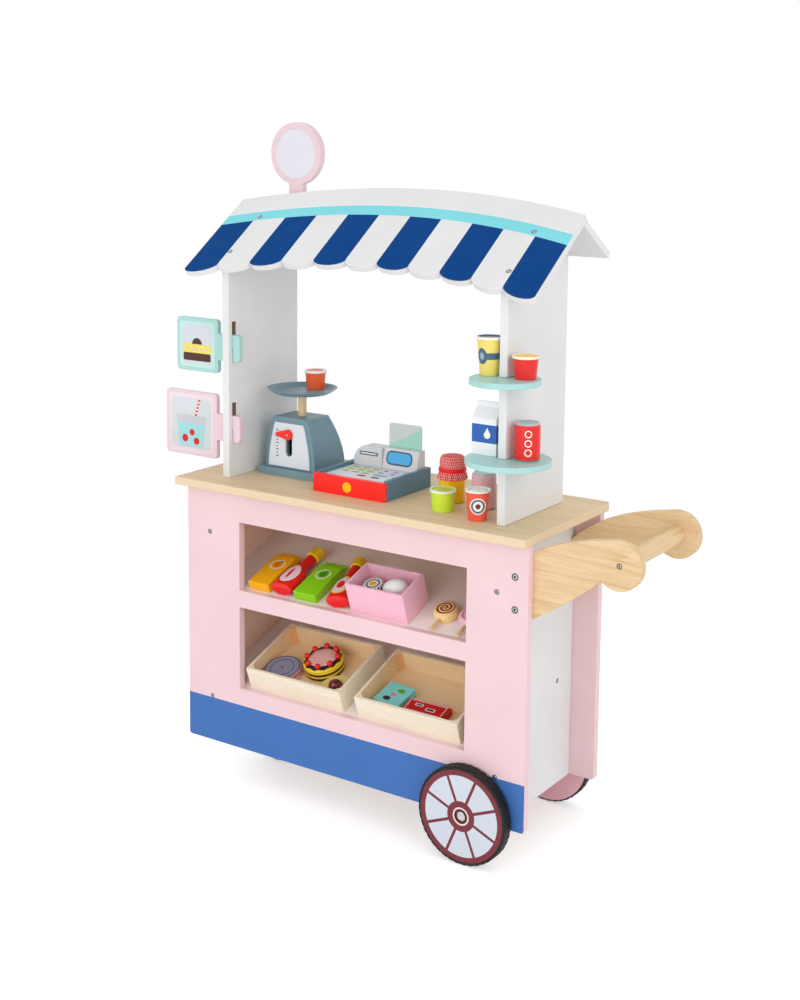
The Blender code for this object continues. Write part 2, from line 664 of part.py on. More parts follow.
def arch(x):
    """Rise of the awning board's curved edges at a distance from its middle."""
    return AWNING_ARCH * (1 - (2 * x / AWNING_LENGTH) ** 2)


def awning_front():
    """A board in the plane of the slope. Both edges arch alike, the lower one with a scallop per stripe."""
    top_steps = 20
    scallop_steps = 6
    outline = []
    for i in range(STRIPES * scallop_steps + 1):
        x = AWNING_LENGTH * (i / (STRIPES * scallop_steps) - 0.5)
        across = 2 * (i % scallop_steps) / scallop_steps - 1
        outline.append((x, arch(x) - AWNING_BELOW - SCALLOP * math.sqrt(1 - across * across)))
    for i in range(top_steps + 1):
        x = AWNING_LENGTH * (0.5 - i / top_steps)
        outline.append((x, arch(x) + AWNING_ABOVE))
    bm = prism(outline, 0, ROOF_BOARD, "Z")
    add("awning_front", bm, "blue_paint", at=(AWNING_X, RIDGE_Y, RIDGE_Z), tilt=FRONT_PITCH)


def awning_rear():
    """A plain board that butts against the front one's underside, its side view set out from the ridge."""
    down = Vector((math.cos(BACK_PITCH), -math.sin(BACK_PITCH)))
    out = Vector((math.sin(BACK_PITCH), math.cos(BACK_PITCH)))
    ridge = Vector((RIDGE_Y, RIDGE_Z))
    between = FRONT_PITCH + BACK_PITCH
    inner = ridge + down * (GAP / math.sin(between))
    outer = inner + out * ROOF_BOARD + down * (ROOF_BOARD / math.tan(between))
    drop = down * BACK_BOARD_DROP
    corners = [inner, outer, outer + drop, outer + drop - out * ROOF_BOARD]
    half = AWNING_LENGTH / 2
    bm = prism([tuple(point) for point in corners], AWNING_X - half, AWNING_X + half, "X")
    rear = add("awning_rear", bm, "white_paint")
    low = (SIGN_X - SIGN_NECK / 2 - GAP, SIGN_Y - GAP, RIDGE_Z - BACK_BOARD_DROP)
    cut(rear, block(low, (SIGN_X + SIGN_NECK / 2 + GAP, SIGN_Y + SIGN_BOARD + GAP, SIGN_Z)))


def sign_board():
    """A disc with a sunk face, on a neck that drops through the rear awning board."""
    rim = SIGN_RECESS_RADIUS + SIGN_RECESS
    profile = [
        (0, SIGN_RECESS),
        (SIGN_RECESS_RADIUS, SIGN_RECESS),
        (rim, 0),
        (SIGN_RADIUS, 0),
        (SIGN_RADIUS, SIGN_BOARD),
        (0, SIGN_BOARD),
    ]
    disc = turned(profile, LARGE_SIDES, axis="Y")
    sign = add("sign_board", disc, "white_paint", at=(SIGN_X, SIGN_Y, SIGN_Z), smooth=True)
    back = SIGN_Y + SIGN_BOARD - RIDGE_Y
    foot = RIDGE_Z - back * math.tan(BACK_PITCH)
    low = (SIGN_X - SIGN_NECK / 2, SIGN_Y, foot)
    neck_top = SIGN_Z - SIGN_RECESS_RADIUS - 2 * SIGN_RECESS
    join(sign, block(low, (SIGN_X + SIGN_NECK / 2, SIGN_Y + SIGN_BOARD, neck_top)))


def handle_outline():
    """Side view of an arm: a root behind the panel, a rising neck and a round end about the bar."""
    root = SIDE_RIGHT + BOARD + GAP
    reach = BAR_X - root
    root_low = BAR_Z - HANDLE_ROOT_BOTTOM
    root_top = BAR_Z - HANDLE_ROOT_TOP
    end = arc((BAR_X, BAR_Z), HANDLE_END, *HANDLE_END_ARC, 22)
    start = (root, root_low)
    leaving = (root + HANDLE_LOW_REACH * reach, root_low + HANDLE_LOW_RISE)
    meeting = (end[0][0] - HANDLE_LOW_BACK, end[0][1] - HANDLE_LOW_DROP)
    low = curve(start, leaving, meeting, end[0], 8)
    leaving = (BAR_X - HANDLE_TOP_BACK, BAR_Z + HANDLE_TOP_RISE)
    meeting = (root + HANDLE_TOP_REACH * reach, BAR_Z + HANDLE_ROOT_RISE)
    top = curve(end[-1], leaving, meeting, (root, root_top), 10)
    return [start] + low[:-1] + end + top


def handle():
    outline = handle_outline()
    add("handle_arm_front", prism(outline, -ARM_INNER - BOARD, -ARM_INNER, "Y"), "pine")
    add("handle_arm_rear", prism(outline, ARM_INNER, ARM_INNER + BOARD, "Y"), "pine")
    half = ARM_INNER - GAP
    profile = [(0, half), (BAR_RADIUS, half), (BAR_RADIUS, -half), (0, -half)]
    add("handle_bar", turned(profile, CUP_SIDES, axis="Y"), "pine", at=(BAR_X, 0, BAR_Z), smooth=True)


def axle():
    """A rod through both panels, with a domed nut past each wheel."""
    nut = WHEEL_OUTER - HUB_RECESS_DEPTH + GAP
    dome = nut + NUT_HEIGHT
    half = [(AXLE_RADIUS, nut), (NUT_RADIUS, nut), (NUT_RADIUS, nut + NUT_HEIGHT / 2)]
    half += [(NUT_RADIUS / 2, dome), (0, dome)]
    profile = [(r, -h) for r, h in reversed(half)] + half
    add("axle", turned(profile, ROD_SIDES, axis="Y"), "zinc", at=(AXLE_X, 0, AXLE_Z), smooth=True)


def wheel(name, side):
    """A wooden disc with a sunk hub face, its origin on the axle at the middle of its width."""
    radius = WHEEL_RADIUS - TYRE - GAP
    hole = bore(AXLE_RADIUS, RUNNING, ROD_SIDES)
    half = WHEEL_WIDTH / 2
    sunk = half - HUB_RECESS_DEPTH
    profile = [(0, sunk), (HUB_RECESS, sunk), (HUB_RECESS, half), (radius, half), (radius, -half), (0, -half)]
    profile = [(r, side * h) for r, h in profile]
    place = (AXLE_X, side * (WHEEL_INNER + half), AXLE_Z)
    disc = add(f"{name}_wheel", turned(profile, LARGE_SIDES, axis="Y"), "maroon_paint", at=place, smooth=True)
    shaft = [(0, 2 * half), (hole, 2 * half), (hole, -2 * half), (0, -2 * half)]
    cut(disc, turned(shaft, ROD_SIDES, axis="Y"), at=place)
    chamfer = TYRE / 3
    tread = [
        (WHEEL_RADIUS - TYRE, half),
        (WHEEL_RADIUS - chamfer, half),
        (WHEEL_RADIUS, half - chamfer),
        (WHEEL_RADIUS, chamfer - half),
        (WHEEL_RADIUS - chamfer, -half),
        (WHEEL_RADIUS - TYRE, -half),
    ]
    tyre = turned(tread, LARGE_SIDES, hollow=True, axis="Y")
    add(f"{name}_tyre", tyre, "black_rubber", at=place, smooth=True)


def caster_mount():
    half = PANEL_INNER - GAP
    left = SIDE_LEFT + GAP
    board = block((left, -half, PANEL_BOTTOM), (left + RAIL_WIDTH, half, PANEL_BOTTOM + BOARD))
    rail = add("caster_rail", board, "white_paint")
    x, y = CASTER_PLATE_LENGTH / 2, CASTER_PLATE_WIDTH / 2
    outline = rounded(SWIVEL_X - x, SWIVEL_X + x, -y, y, (CASTER_CORNER,) * 4, 3)
    top = PANEL_BOTTOM - GAP
    plate = add("caster_plate", prism(outline, top - CASTER_PLATE, top, "Z"), "zinc")
    hole = bore(KINGPIN_RADIUS, RUNNING, ROD_SIDES)
    depth = KINGPIN_REACH + GAP
    for piece, low, high in ((rail, -BOARD, depth), (plate, -BOARD, BOARD)):
        cut(piece, rod(hole, low, high, ROD_SIDES), at=(SWIVEL_X, 0, PANEL_BOTTOM))


def caster_fork():
    """Crown, two ears, the wheel's pin and the kingpin in one piece, its origin on the swivel axis."""
    crown_top = PANEL_BOTTOM - 2 * GAP - CASTER_PLATE
    crown_low = crown_top - FORK_SHEET
    crown = rod(FORK_CROWN, crown_low, crown_top, CUP_SIDES)
    fork = add("caster_fork", crown, "zinc", at=(SWIVEL_X, 0, 0), smooth=True)
    half = CASTER_WIDTH / 2 + CASTER_PLAY
    tip = arc((CASTER_TRAIL, CASTER_RADIUS), FORK_TIP, *FORK_TIP_ARC, 8)
    top = crown_low + FORK_SHEET / 2
    outline = tip + [(FORK_EAR, top), (-FORK_EAR, top)]
    for low in (-half - FORK_SHEET, half):
        join(fork, prism(outline, low, low + FORK_SHEET, "Y"), at=(SWIVEL_X, 0, 0))
    reach = half + FORK_SHEET / 2
    pin = rod(CASTER_PIN_RADIUS, -reach, reach, ROD_SIDES, axis="Y")
    join(fork, pin, at=(CASTER_X, 0, CASTER_RADIUS))
    high = PANEL_BOTTOM + KINGPIN_REACH
    low = crown_top - FORK_SHEET / 2
    join(fork, rod(KINGPIN_RADIUS, low, high, ROD_SIDES), at=(SWIVEL_X, 0, 0))


def caster_wheel():
    half = CASTER_WIDTH / 2
    hole = bore(CASTER_PIN_RADIUS, RUNNING, ROD_SIDES)
    shoulder = CASTER_SHOULDER
    profile = [
        (hole, half),
        (CASTER_RADIUS - shoulder, half),
        (CASTER_RADIUS, half - shoulder),
        (CASTER_RADIUS, shoulder - half),
        (CASTER_RADIUS - shoulder, -half),
        (hole, -half),
    ]
    wheel_mesh = turned(profile, CUP_SIDES, hollow=True, axis="Y")
    add("caster_wheel", wheel_mesh, "grey_plastic", at=(CASTER_X, 0, CASTER_RADIUS), smooth=True)


def menu_board(name, finish, width, height, gap, middle):
    """A plate with a neck through the post's slot, notched below so that it hooks over the slot's edge."""
    neck_low, slot_low, neck_top, _ = menu_heights(middle)
    right = LEFT_POST_OUTER - gap
    plate_low = (neck_low + neck_top - height) / 2
    plate = rounded(right - width, right, plate_low, plate_low + height, (MENU_CORNER,) * 4)
    arc_points = len(plate) // 4
    tab_end = LEFT_POST_INNER + MENU_TAB
    outer, inner = LEFT_POST_OUTER - PLAY, LEFT_POST_INNER + PLAY
    notch = slot_low + GAP
    neck = [(right, neck_low), (outer, neck_low), (outer, notch), (inner, notch), (inner, neck_low)]
    tab = rounded(inner, tab_end, neck_low, neck_top, (0, MENU_CORNER, MENU_CORNER, 0))[1:-1]
    outline = plate[: 2 * arc_points] + neck + tab + [(right, neck_top)] + plate[2 * arc_points :]
    half = MENU_BOARD / 2
    add(name, prism(outline, MENU_Y - half, MENU_Y + half, "Y"), finish)


def scale_half(t):
    """Half width of the scale's body at a share t of its height: its sides bulge between foot and top."""
    return SCALE_FOOT_HALF - (SCALE_FOOT_HALF - SCALE_TOP_HALF) * t**SCALE_BULGE


def scale_back(t):
    return SCALE_Y + SCALE_FOOT_BACK - (SCALE_FOOT_BACK - SCALE_TOP_BACK) * t**SCALE_BULGE


def scale_ring(t, wall):
    """One level of the body, drawn in by the wall for its hollow."""
    x, back, z = scale_half(t) - wall, scale_back(t) - wall, SCALE_BASE_TOP + t * SCALE_HEIGHT
    front = SCALE_FACE + wall
    return [(SCALE_X - x, front, z), (SCALE_X + x, front, z), (SCALE_X + x, back, z), (SCALE_X - x, back, z)]


def dial_slot(depth):
    half = DIAL_SLOT / 2
    low = SCALE_BASE_TOP + DIAL_SLOT_FOOT
    outline = arc((SCALE_X, low + half), half, 180, 360, 8)
    outline += arc((SCALE_X, low + DIAL_SLOT_HEIGHT - half), half, 0, 180, 8)
    return prism(outline, SCALE_FACE - depth, SCALE_FACE + depth, "Y")


def scale():
    """A base with a hollow body on it, and a dial plate before the slot that the pointer's arm runs in."""
    x, y = SCALE_BASE_LENGTH / 2, SCALE_BASE_DEPTH / 2
    outline = rounded(SCALE_X - x, SCALE_X + x, SCALE_Y - y, SCALE_Y + y, (SCALE_CORNER,) * 4, 2)
    body = add("scale_body", prism(outline, ON_COUNTER, SCALE_BASE_TOP, "Z"), "slate_paint", smooth=True)
    levels = [i / 6 for i in range(7)]
    rings = [scale_ring(t, 0) for t in levels]
    rings[0] = [(px, py, SCALE_BASE_TOP - SCALE_BASE / 2) for px, py, _ in rings[0]]
    join(body, lofted(rings))
    roof = 1 - SCALE_WALL / SCALE_HEIGHT
    cut(body, lofted([scale_ring(t * roof, SCALE_WALL) for t in levels]))
    cut(body, dial_slot(2 * SCALE_WALL))
    hole = bore(DOWEL_RADIUS, PLAY, CUP_SIDES)
    high = SCALE_BASE_TOP + SCALE_HEIGHT + SCALE_WALL
    low = high - 3 * SCALE_WALL
    cut(body, rod(hole, low, high, CUP_SIDES), at=(SCALE_X, DOWEL_PLACE, 0))
    foot, top = DIAL_FOOT / SCALE_HEIGHT, 1 - DIAL_TOP / SCALE_HEIGHT
    shares = [foot + (top - foot) * i / 6 for i in range(7)]
    right = [(SCALE_X + scale_half(t) - DIAL_MARGIN, SCALE_BASE_TOP + t * SCALE_HEIGHT) for t in shares]
    left = [(2 * SCALE_X - px, pz) for px, pz in reversed(right)]
    dial = add("scale_dial", prism(right + left, SCALE_FACE - GAP - DIAL, SCALE_FACE - GAP, "Y"), "pale_grey")
    cut(dial, dial_slot(2 * SCALE_WALL))


def scale_plunger():
    """The dowel with its arm through the slot and the pointer on it, then the dished tray on the dowel."""
    tray_low = SCALE_BASE_TOP + TRAY_Z
    low, high = SCALE_BASE_TOP + DOWEL_FOOT, tray_low - GAP
    place = (SCALE_X, DOWEL_PLACE, 0)
    dowel = rod(DOWEL_RADIUS, low, high, CUP_SIDES)
    post = add("scale_plunger", dowel, "pine", at=place, smooth=True)
    pointer_z = SCALE_BASE_TOP + POINTER_Z
    half = POINTER_ARM / 2
    arm_end = SCALE_FACE - GAP - DIAL - PLAY
    arm_low = (SCALE_X - half, arm_end - POINTER / 2, pointer_z - half)
    join(post, block(arm_low, (SCALE_X + half, DOWEL_PLACE, pointer_z + half)))
    hub = arc((0, 0), POINTER_HUB, -POINTER_HUB_ARC, POINTER_HUB_ARC, 12)
    tip = [(-POINTER_LENGTH, POINTER_TIP), (-POINTER_LENGTH, -POINTER_TIP)]
    join(post, prism(hub + tip, -POINTER, 0, "Y"), at=(SCALE_X, arm_end, pointer_z))
    slope = TRAY_RISE - TRAY_WALL
    profile = [
        (0, TRAY_WALL),
        (TRAY_FLOOR, TRAY_WALL),
        (TRAY_RADIUS - TRAY_WALL, TRAY_RISE),
        (TRAY_RADIUS, TRAY_RISE),
        (TRAY_FLOOR + slope / 2, slope / 2),
        (TRAY_FLOOR - TRAY_HEEL, 0),
        (0, 0),
    ]
    dish = turned(profile, LARGE_SIDES)
    add("scale_tray", dish, "slate_paint", at=(SCALE_X, DOWEL_PLACE, tray_low), smooth=True)


def register_body():
    """An open slate tray: floor, two sides and a back. The drawer closes its front."""
    low = (REGISTER_X - REGISTER_WIDTH / 2, REGISTER_BODY_FRONT, ON_COUNTER)
    high = (REGISTER_X + REGISTER_WIDTH / 2, REGISTER_FRONT + REGISTER_DEPTH, ON_COUNTER + REGISTER_HEIGHT)
    body = add("register_body", block(low, high), "slate_paint")
    front = REGISTER_BODY_FRONT - REGISTER_WALL
    inside = block(
        (REGISTER_LEFT, front, ON_COUNTER + REGISTER_FLOOR),
        (REGISTER_RIGHT, REGISTER_BACK, ON_COUNTER + REGISTER_HEIGHT + REGISTER_FLOOR),
    )
    cut(body, inside)
    left, right = REGISTER_LEFT + GAP, REGISTER_RIGHT - GAP
    deck = block((left, REGISTER_BODY_FRONT, DECK_TOP - DECK), (right, REGISTER_BACK - GAP, DECK_TOP))
    add("register_keypad", deck, "pale_grey")


def register_drawer():
    """A front board with an open tray behind it, which runs under the keypad."""
    front_low = (REGISTER_X - REGISTER_WIDTH / 2, REGISTER_FRONT, ON_COUNTER)
    front_high = (REGISTER_X + REGISTER_WIDTH / 2, REGISTER_FRONT + DRAWER_FRONT, ON_COUNTER + DRAWER_HEIGHT)
    drawer = add("register_drawer", block(front_low, front_high), "red_paint")
    low = Vector((REGISTER_LEFT + PLAY, REGISTER_FRONT + DRAWER_FRONT / 2, ON_COUNTER + REGISTER_FLOOR + GAP))
    top = DECK_TOP - DECK - PLAY
    high = Vector((REGISTER_RIGHT - PLAY, REGISTER_FRONT + DRAWER_FRONT + DRAWER_LENGTH, top))
    join(drawer, block(low, high))
    inside_low = low + Vector((DRAWER_WALL, DRAWER_FRONT / 2 + GAP, DRAWER_FLOOR))
    inside_high = high + Vector((-DRAWER_WALL, -DRAWER_WALL, DRAWER_FLOOR))
    cut(drawer, block(inside_low, inside_high))


def register_blocks():
    """The printer with a rounded shoulder, the screen block with a leaning face, and the card in its slot."""
    low, high = DECK_TOP + GAP, DECK_TOP + GAP + BLOCK_HEIGHT
    back = REGISTER_BACK - GAP
    shoulder = rounded(REGISTER_LEFT + GAP, BLOCK_SPLIT, low, high, (0, 0, 0, PRINTER_ROUND), 8)
    add("register_printer", prism(shoulder, BLOCK_FRONT, back, "Y"), "pale_grey", smooth=True)
    outline = [(BLOCK_FRONT, low), (back, low), (back, high), (BLOCK_FRONT + SCREEN_LEAN, high)]
    left, right = BLOCK_SPLIT + GAP, REGISTER_RIGHT - GAP
    screen = add("register_screen", prism(outline, left, right, "X"), "pale_grey")
    card_x = (left + right) / 2
    half, side = CARD_THICKNESS / 2 + GAP, CARD_WIDTH / 2 + GAP
    slot_low = (card_x - side, CARD_Y - half, high - CARD_SLOT)
    cut(screen, block(slot_low, (card_x + side, CARD_Y + half, high + CARD_SLOT)))
    foot = high - CARD_SLOT + GAP
    x, y = CARD_WIDTH / 2, CARD_THICKNESS / 2
    card = rounded(card_x - x, card_x + x, foot, foot + CARD_HEIGHT, (0, 0, CARD_CORNER, CARD_CORNER))
    add("member_card", prism(card, CARD_Y - y, CARD_Y + y, "Y"), "teal_paint")


def open_tray(name, finish, length, depth, height, wall, at):
    """A tray without a lid, its origin at the middle of its lower front edge."""
    tray = add(name, block((-length / 2, 0, 0), (length / 2, depth, height)), finish, at=at, tilt=SHELF_SLOPE)
    inside = block((wall - length / 2, wall, wall), (length / 2 - wall, depth - wall, height + wall))
    cut(tray, inside, at=at, tilt=SHELF_SLOPE)
    return tray


def bin_with_blocks(name, x):
    at = on_slope(LOWER_SILL_Z, x, SETBACK)
    tray = open_tray(name, "light_wood", BIN_LENGTH, BIN_DEPTH, BIN_HEIGHT, BIN_WALL, at)
    side, back = BIN_LENGTH / 2 - BIN_WALL / 2, BIN_DEPTH - BIN_WALL / 2
    front = BIN_WALL / 2
    for sx in (-1, 1):
        for y, step in ((front, 1), (back, -1)):
            corner = [(sx * side, y), (sx * (side - BIN_BLOCK), y), (sx * side, y + step * BIN_BLOCK)]
            join(tray, prism(corner, BIN_WALL / 2, BIN_HEIGHT - PLAY, "Z"), at=at, tilt=SHELF_SLOPE)


def cup(name, finish, at, top, foot, height):
    """A turned cup with a proud rim round a sunk lid."""
    profile = [
        (0, height - CUP_SINK),
        (top - 2 * CUP_SINK, height - CUP_SINK),
        (top - CUP_SINK, height),
        (top + CUP_LIP, height),
        (top + CUP_LIP, height - CUP_RIM),
        (top - CUP_LIP, height - CUP_RIM),
        (foot, 0),
        (0, 0),
    ]
    add(name, turned(profile, CUP_SIDES), finish, at=at, smooth=True)


def can(name, finish, at):
    """A turned can with drawn-in ends and a sunk lid."""
    neck = CAN_RADIUS - CAN_NECK
    profile = [
        (0, CAN_HEIGHT - CUP_LIP),
        (neck - 2 * CUP_LIP, CAN_HEIGHT - CUP_LIP),
        (neck - CUP_LIP, CAN_HEIGHT),
        (neck, CAN_HEIGHT),
        (CAN_RADIUS, CAN_HEIGHT - CAN_SHOULDER),
        (CAN_RADIUS, CAN_NECK),
        (neck, 0),
        (0, 0),
    ]
    add(name, turned(profile, CUP_SIDES), finish, at=at, smooth=True)


def jar():
    """A straight jar with a cloth cap, gathered by a ribbon over its flaring skirt."""
    rise = (JAR_HEIGHT - JAR_GATHER) / 3
    profile = [
        (0, JAR_HEIGHT),
        (JAR_RADIUS - ROUNDING - CUP_LIP, JAR_HEIGHT - ROUNDING / 2),
        (JAR_RADIUS - CUP_LIP, JAR_HEIGHT - 2 * ROUNDING),
        (JAR_RADIUS + CUP_LIP, JAR_GATHER + rise),
        (JAR_RADIUS, JAR_GATHER),
        (JAR_RADIUS + JAR_FLARE, JAR_SKIRT + 2 * ROUNDING),
        (JAR_RADIUS + JAR_FLARE - ROUNDING / 2, JAR_SKIRT),
        (JAR_RADIUS, JAR_SKIRT + ROUNDING / 2),
        (JAR_RADIUS, ROUNDING),
        (JAR_RADIUS - ROUNDING, 0),
        (0, 0),
    ]
    place = (between_posts(JAR_PLACE), JAR_Y, ON_COUNTER)
    add("jar", turned(profile, CUP_SIDES), "yellow_paint", at=place, smooth=True)


def milk_carton():
    """A box whose front and back fold in to a flat fin."""
    x, top = MILK_WIDTH / 2, MILK_BODY + MILK_GABLE
    levels = ((0, MILK_DEPTH), (MILK_BODY, MILK_DEPTH), (top, MILK_FIN_THICKNESS))
    levels += ((top + MILK_FIN, MILK_FIN_THICKNESS),)
    rings = [[(-x, -d / 2, z), (x, -d / 2, z), (x, d / 2, z), (-x, d / 2, z)] for z, d in levels]
    place = (RIGHT_POST_INNER - MILK_ASIDE, POST_FRONT + MILK_BACK, LOWER_SHELF_Z + GAP)
    add("milk_carton", lofted(rings), "white_paint", at=place)


def juice_box(name, finish, width, x):
    """A flat carton that lies on the shelf, folded to a fin at its far end."""
    shoulder = CARTON_BODY + CARTON_SHOULDER
    end = shoulder + CARTON_FIN
    low = (CARTON_THICKNESS - CARTON_FIN_THICKNESS) / 2
    high = low + CARTON_FIN_THICKNESS
    outline = [
        (0, 0),
        (CARTON_BODY, 0),
        (shoulder, low),
        (end, low),
        (end, high),
        (shoulder, high),
        (CARTON_BODY, CARTON_THICKNESS),
        (0, CARTON_THICKNESS),
    ]
    at = on_slope(UPPER_SILL_Z, x, SETBACK)
    add(name, prism(outline, -width / 2, width / 2, "X"), finish, at=at, tilt=SHELF_SLOPE)


def sauce_bottle(name, x, turn):
    """A flattened bottle that lies on the shelf, from rings along its belly, neck and wider cap."""
    half, thick, neck, cap = BOTTLE_WIDTH / 2, BOTTLE_THICKNESS / 2, BOTTLE_NECK / 2, BOTTLE_CAP / 2
    cap_start = BOTTLE_LENGTH - BOTTLE_CAP_LENGTH
    belly = cap_start / 3
    levels = (
        (0, half - 2 * ROUNDING, thick - ROUNDING),
        (ROUNDING, half - ROUNDING / 4, thick - ROUNDING / 4),
        (belly, half, thick),
        (belly * 3 / 2, half * 0.9, thick),
        (belly * 2, neck * 1.2, thick * 0.86),
        (belly * 9 / 4, neck, neck),
        (cap_start, neck, neck),
        (cap_start + ROUNDING / 4, cap, cap * 0.91),
        (BOTTLE_LENGTH - ROUNDING, cap, cap * 0.91),
        (BOTTLE_LENGTH, cap - ROUNDING, cap * 0.91 - ROUNDING),
    )
    rings = []
    for y, half_width, half_thick in levels:
        angles = [math.tau * i / ROD_SIDES for i in range(ROD_SIDES)]
        rings.append([(half_width * math.cos(a), y, thick + half_thick * math.sin(a)) for a in angles])
    at = on_slope(UPPER_SILL_Z, x, SETBACK)
    add(name, lofted(rings), "red_paint", at=at, tilt=SHELF_SLOPE, turn=turn, smooth=True)


def round_toy(radius, height):
    """Profile of a flat round toy with rounded edges."""
    edge = ROUNDING
    side = [(radius - edge, height), (radius, height - edge), (radius, edge), (radius - edge, 0)]
    return [(0, height)] + side + [(0, 0)]


def swirl_lollipop(x):
    at = on_slope(UPPER_SILL_Z, x, LOLLIPOP_UP)
    profile = round_toy(LOLLIPOP_RADIUS, LOLLIPOP_THICKNESS)
    candy = turned(profile, CUP_SIDES)
    disc = add("swirl_lollipop", candy, "orange_paint", at=at, tilt=SHELF_SLOPE, smooth=True)
    start, end = -LOLLIPOP_RADIUS / 2, -LOLLIPOP_RADIUS - LOLLIPOP_STICK
    stick = rod(LOLLIPOP_STICK_RADIUS, end, start, ROD_SIDES, axis="Y")
    bmesh.ops.translate(stick, verts=stick.verts, vec=(0, 0, LOLLIPOP_THICKNESS / 2))
    join(disc, stick, at=at, tilt=SHELF_SLOPE)


def upper_row():
    """The pieces on the upper shelf, side by side, with the window's spare length shared out between them."""
    lean = BOTTLE_LENGTH * math.sin(BOTTLE_LEAN) / 4
    widths = (
        ORANGE_CARTON_WIDTH,
        BOTTLE_WIDTH,
        GREEN_CARTON_WIDTH,
        BOTTLE_WIDTH + lean,
        TUB_WIDTH,
        2 * LOLLIPOP_RADIUS,
    )
    spare = WINDOW_LENGTH - sum(widths)
    middles, reach = [], WINDOW_LEFT
    for width, share in zip(widths, ROW_GAPS):
        reach += share * spare
        middles.append(reach + width / 2)
        reach += width
    juice_box("orange_carton", "orange_paint", ORANGE_CARTON_WIDTH, middles[0])
    sauce_bottle("left_bottle", middles[1], 0)
    juice_box("green_carton", "green_paint", GREEN_CARTON_WIDTH, middles[2])
    sauce_bottle("right_bottle", middles[3] + lean / 2, BOTTLE_LEAN)
    at = on_slope(UPPER_SILL_Z, middles[4], SETBACK)
    open_tray("pink_tub", "rose_paint", TUB_WIDTH, TUB_DEPTH, TUB_HEIGHT, TUB_WALL, at)
    swirl_lollipop(middles[5])


def in_bin(bin_x, place, up):
    """A point on a bin's floor, a share of its inner length from the left and a distance behind its front."""
    x = bin_x + (place - 0.5) * TRAY_INSIDE
    return on_slope(LOWER_SILL_Z, x, SETBACK + up, GAP + BIN_WALL + GAP)


def cakes():
    at = in_bin(LEFT_BIN_X, LAYER_BISCUIT_PLACE, LAYER_BISCUIT_UP)
    profile = round_toy(LAYER_BISCUIT_SHARE * TRAY_INSIDE, LAYER_BISCUIT)
    add("layer_biscuit", turned(profile, LARGE_SIDES), "lavender_grey", at=at, tilt=SHELF_SLOPE, smooth=True)
    at = in_bin(LEFT_BIN_X, CAKE_PLACE, CAKE_UP)
    profile = round_toy(CAKE_SHARE * TRAY_INSIDE, CAKE)
    add("cherry_cake", turned(profile, LARGE_SIDES), "yellow_paint", at=at, tilt=SHELF_SLOPE, smooth=True)
    radius = BALL_BISCUIT_SHARE * TRAY_INSIDE
    ball = BALL_SHARE * radius
    dome = arc((0, BALL_BISCUIT), ball, 90, 0, 5)
    dome[0] = (0, BALL_BISCUIT + ball)
    profile = dome + round_toy(radius, BALL_BISCUIT)[1:]
    at = in_bin(LEFT_BIN_X, BALL_BISCUIT_PLACE, BALL_BISCUIT_UP)
    add("ball_biscuit", turned(profile, CUP_SIDES), "cream_yellow", at=at, tilt=SHELF_SLOPE, smooth=True)


def sweet_boxes():
    half = SWEETS_SHARE * TRAY_INSIDE / 2
    outline = rounded(-half, half, -half, half, (ROUNDING,) * 4, 2)
    at = in_bin(RIGHT_BIN_X, SWEETS_PLACE, SWEETS_UP)
    box = prism(outline, 0, SWEETS_BOX, "Z")
    add("sweets_box", box, "teal_paint", at=at, tilt=SHELF_SLOPE, turn=SWEETS_TURN)
    y, edge, top = CHOCOLATE_DEPTH / 2, CHOCOLATE_EDGE, CHOCOLATE_BOX
    section = [(-y, 0), (y, 0), (y, top - edge), (y - edge, top), (edge - y, top), (-y, top - edge)]
    half = CHOCOLATE_SHARE * TRAY_INSIDE / 2
    at = in_bin(RIGHT_BIN_X, CHOCOLATE_PLACE, CHOCOLATE_UP)
    add("chocolate_box", prism(section, -half, half, "X"), "red_paint", at=at, tilt=SHELF_SLOPE)


def counter_toys():
    lime = (between_posts(LIME_CUP_PLACE), LIME_CUP_Y, ON_COUNTER)
    cup("lime_cup", "lime_paint", lime, LIME_CUP_RADIUS, LIME_CUP_FOOT, LIME_CUP_HEIGHT)
    coral = (between_posts(CORAL_CUP_PLACE), CORAL_CUP_Y, ON_COUNTER)
    cup("coral_cup", "coral_paint", coral, CORAL_CUP_RADIUS, CORAL_CUP_FOOT, CORAL_CUP_HEIGHT)
    tray_floor = SCALE_BASE_TOP + TRAY_Z + TRAY_WALL + GAP
    orange = (SCALE_X + ORANGE_CUP_ASIDE, DOWEL_PLACE + ORANGE_CUP_BEHIND, tray_floor)
    cup("orange_cup", "coral_paint", orange, ORANGE_CUP_RADIUS, ORANGE_CUP_FOOT, ORANGE_CUP_HEIGHT)
    can("pink_can", "can_pink", (between_posts(PINK_CAN_PLACE), PINK_CAN_Y, ON_COUNTER))


def shelf_toys():
    upper, lower = UPPER_SHELF_Z + GAP, LOWER_SHELF_Z + GAP
    coffee = (RIGHT_POST_INNER - COFFEE_CUP_ASIDE, POST_FRONT + COFFEE_CUP_BACK, upper)
    cup("coffee_cup", "cream_yellow", coffee, COFFEE_CUP_RADIUS, COFFEE_CUP_FOOT, COFFEE_CUP_HEIGHT)
    red = (RIGHT_POST_OUTER + RED_CUP_ASIDE, POST_FRONT + RED_CUP_BACK, upper)
    cup("red_cup", "red_paint", red, RED_CUP_RADIUS, RED_CUP_FOOT, RED_CUP_HEIGHT)
    can("red_can", "red_paint", (RIGHT_POST_OUTER + RED_CAN_ASIDE, POST_FRONT + RED_CAN_BACK, lower))


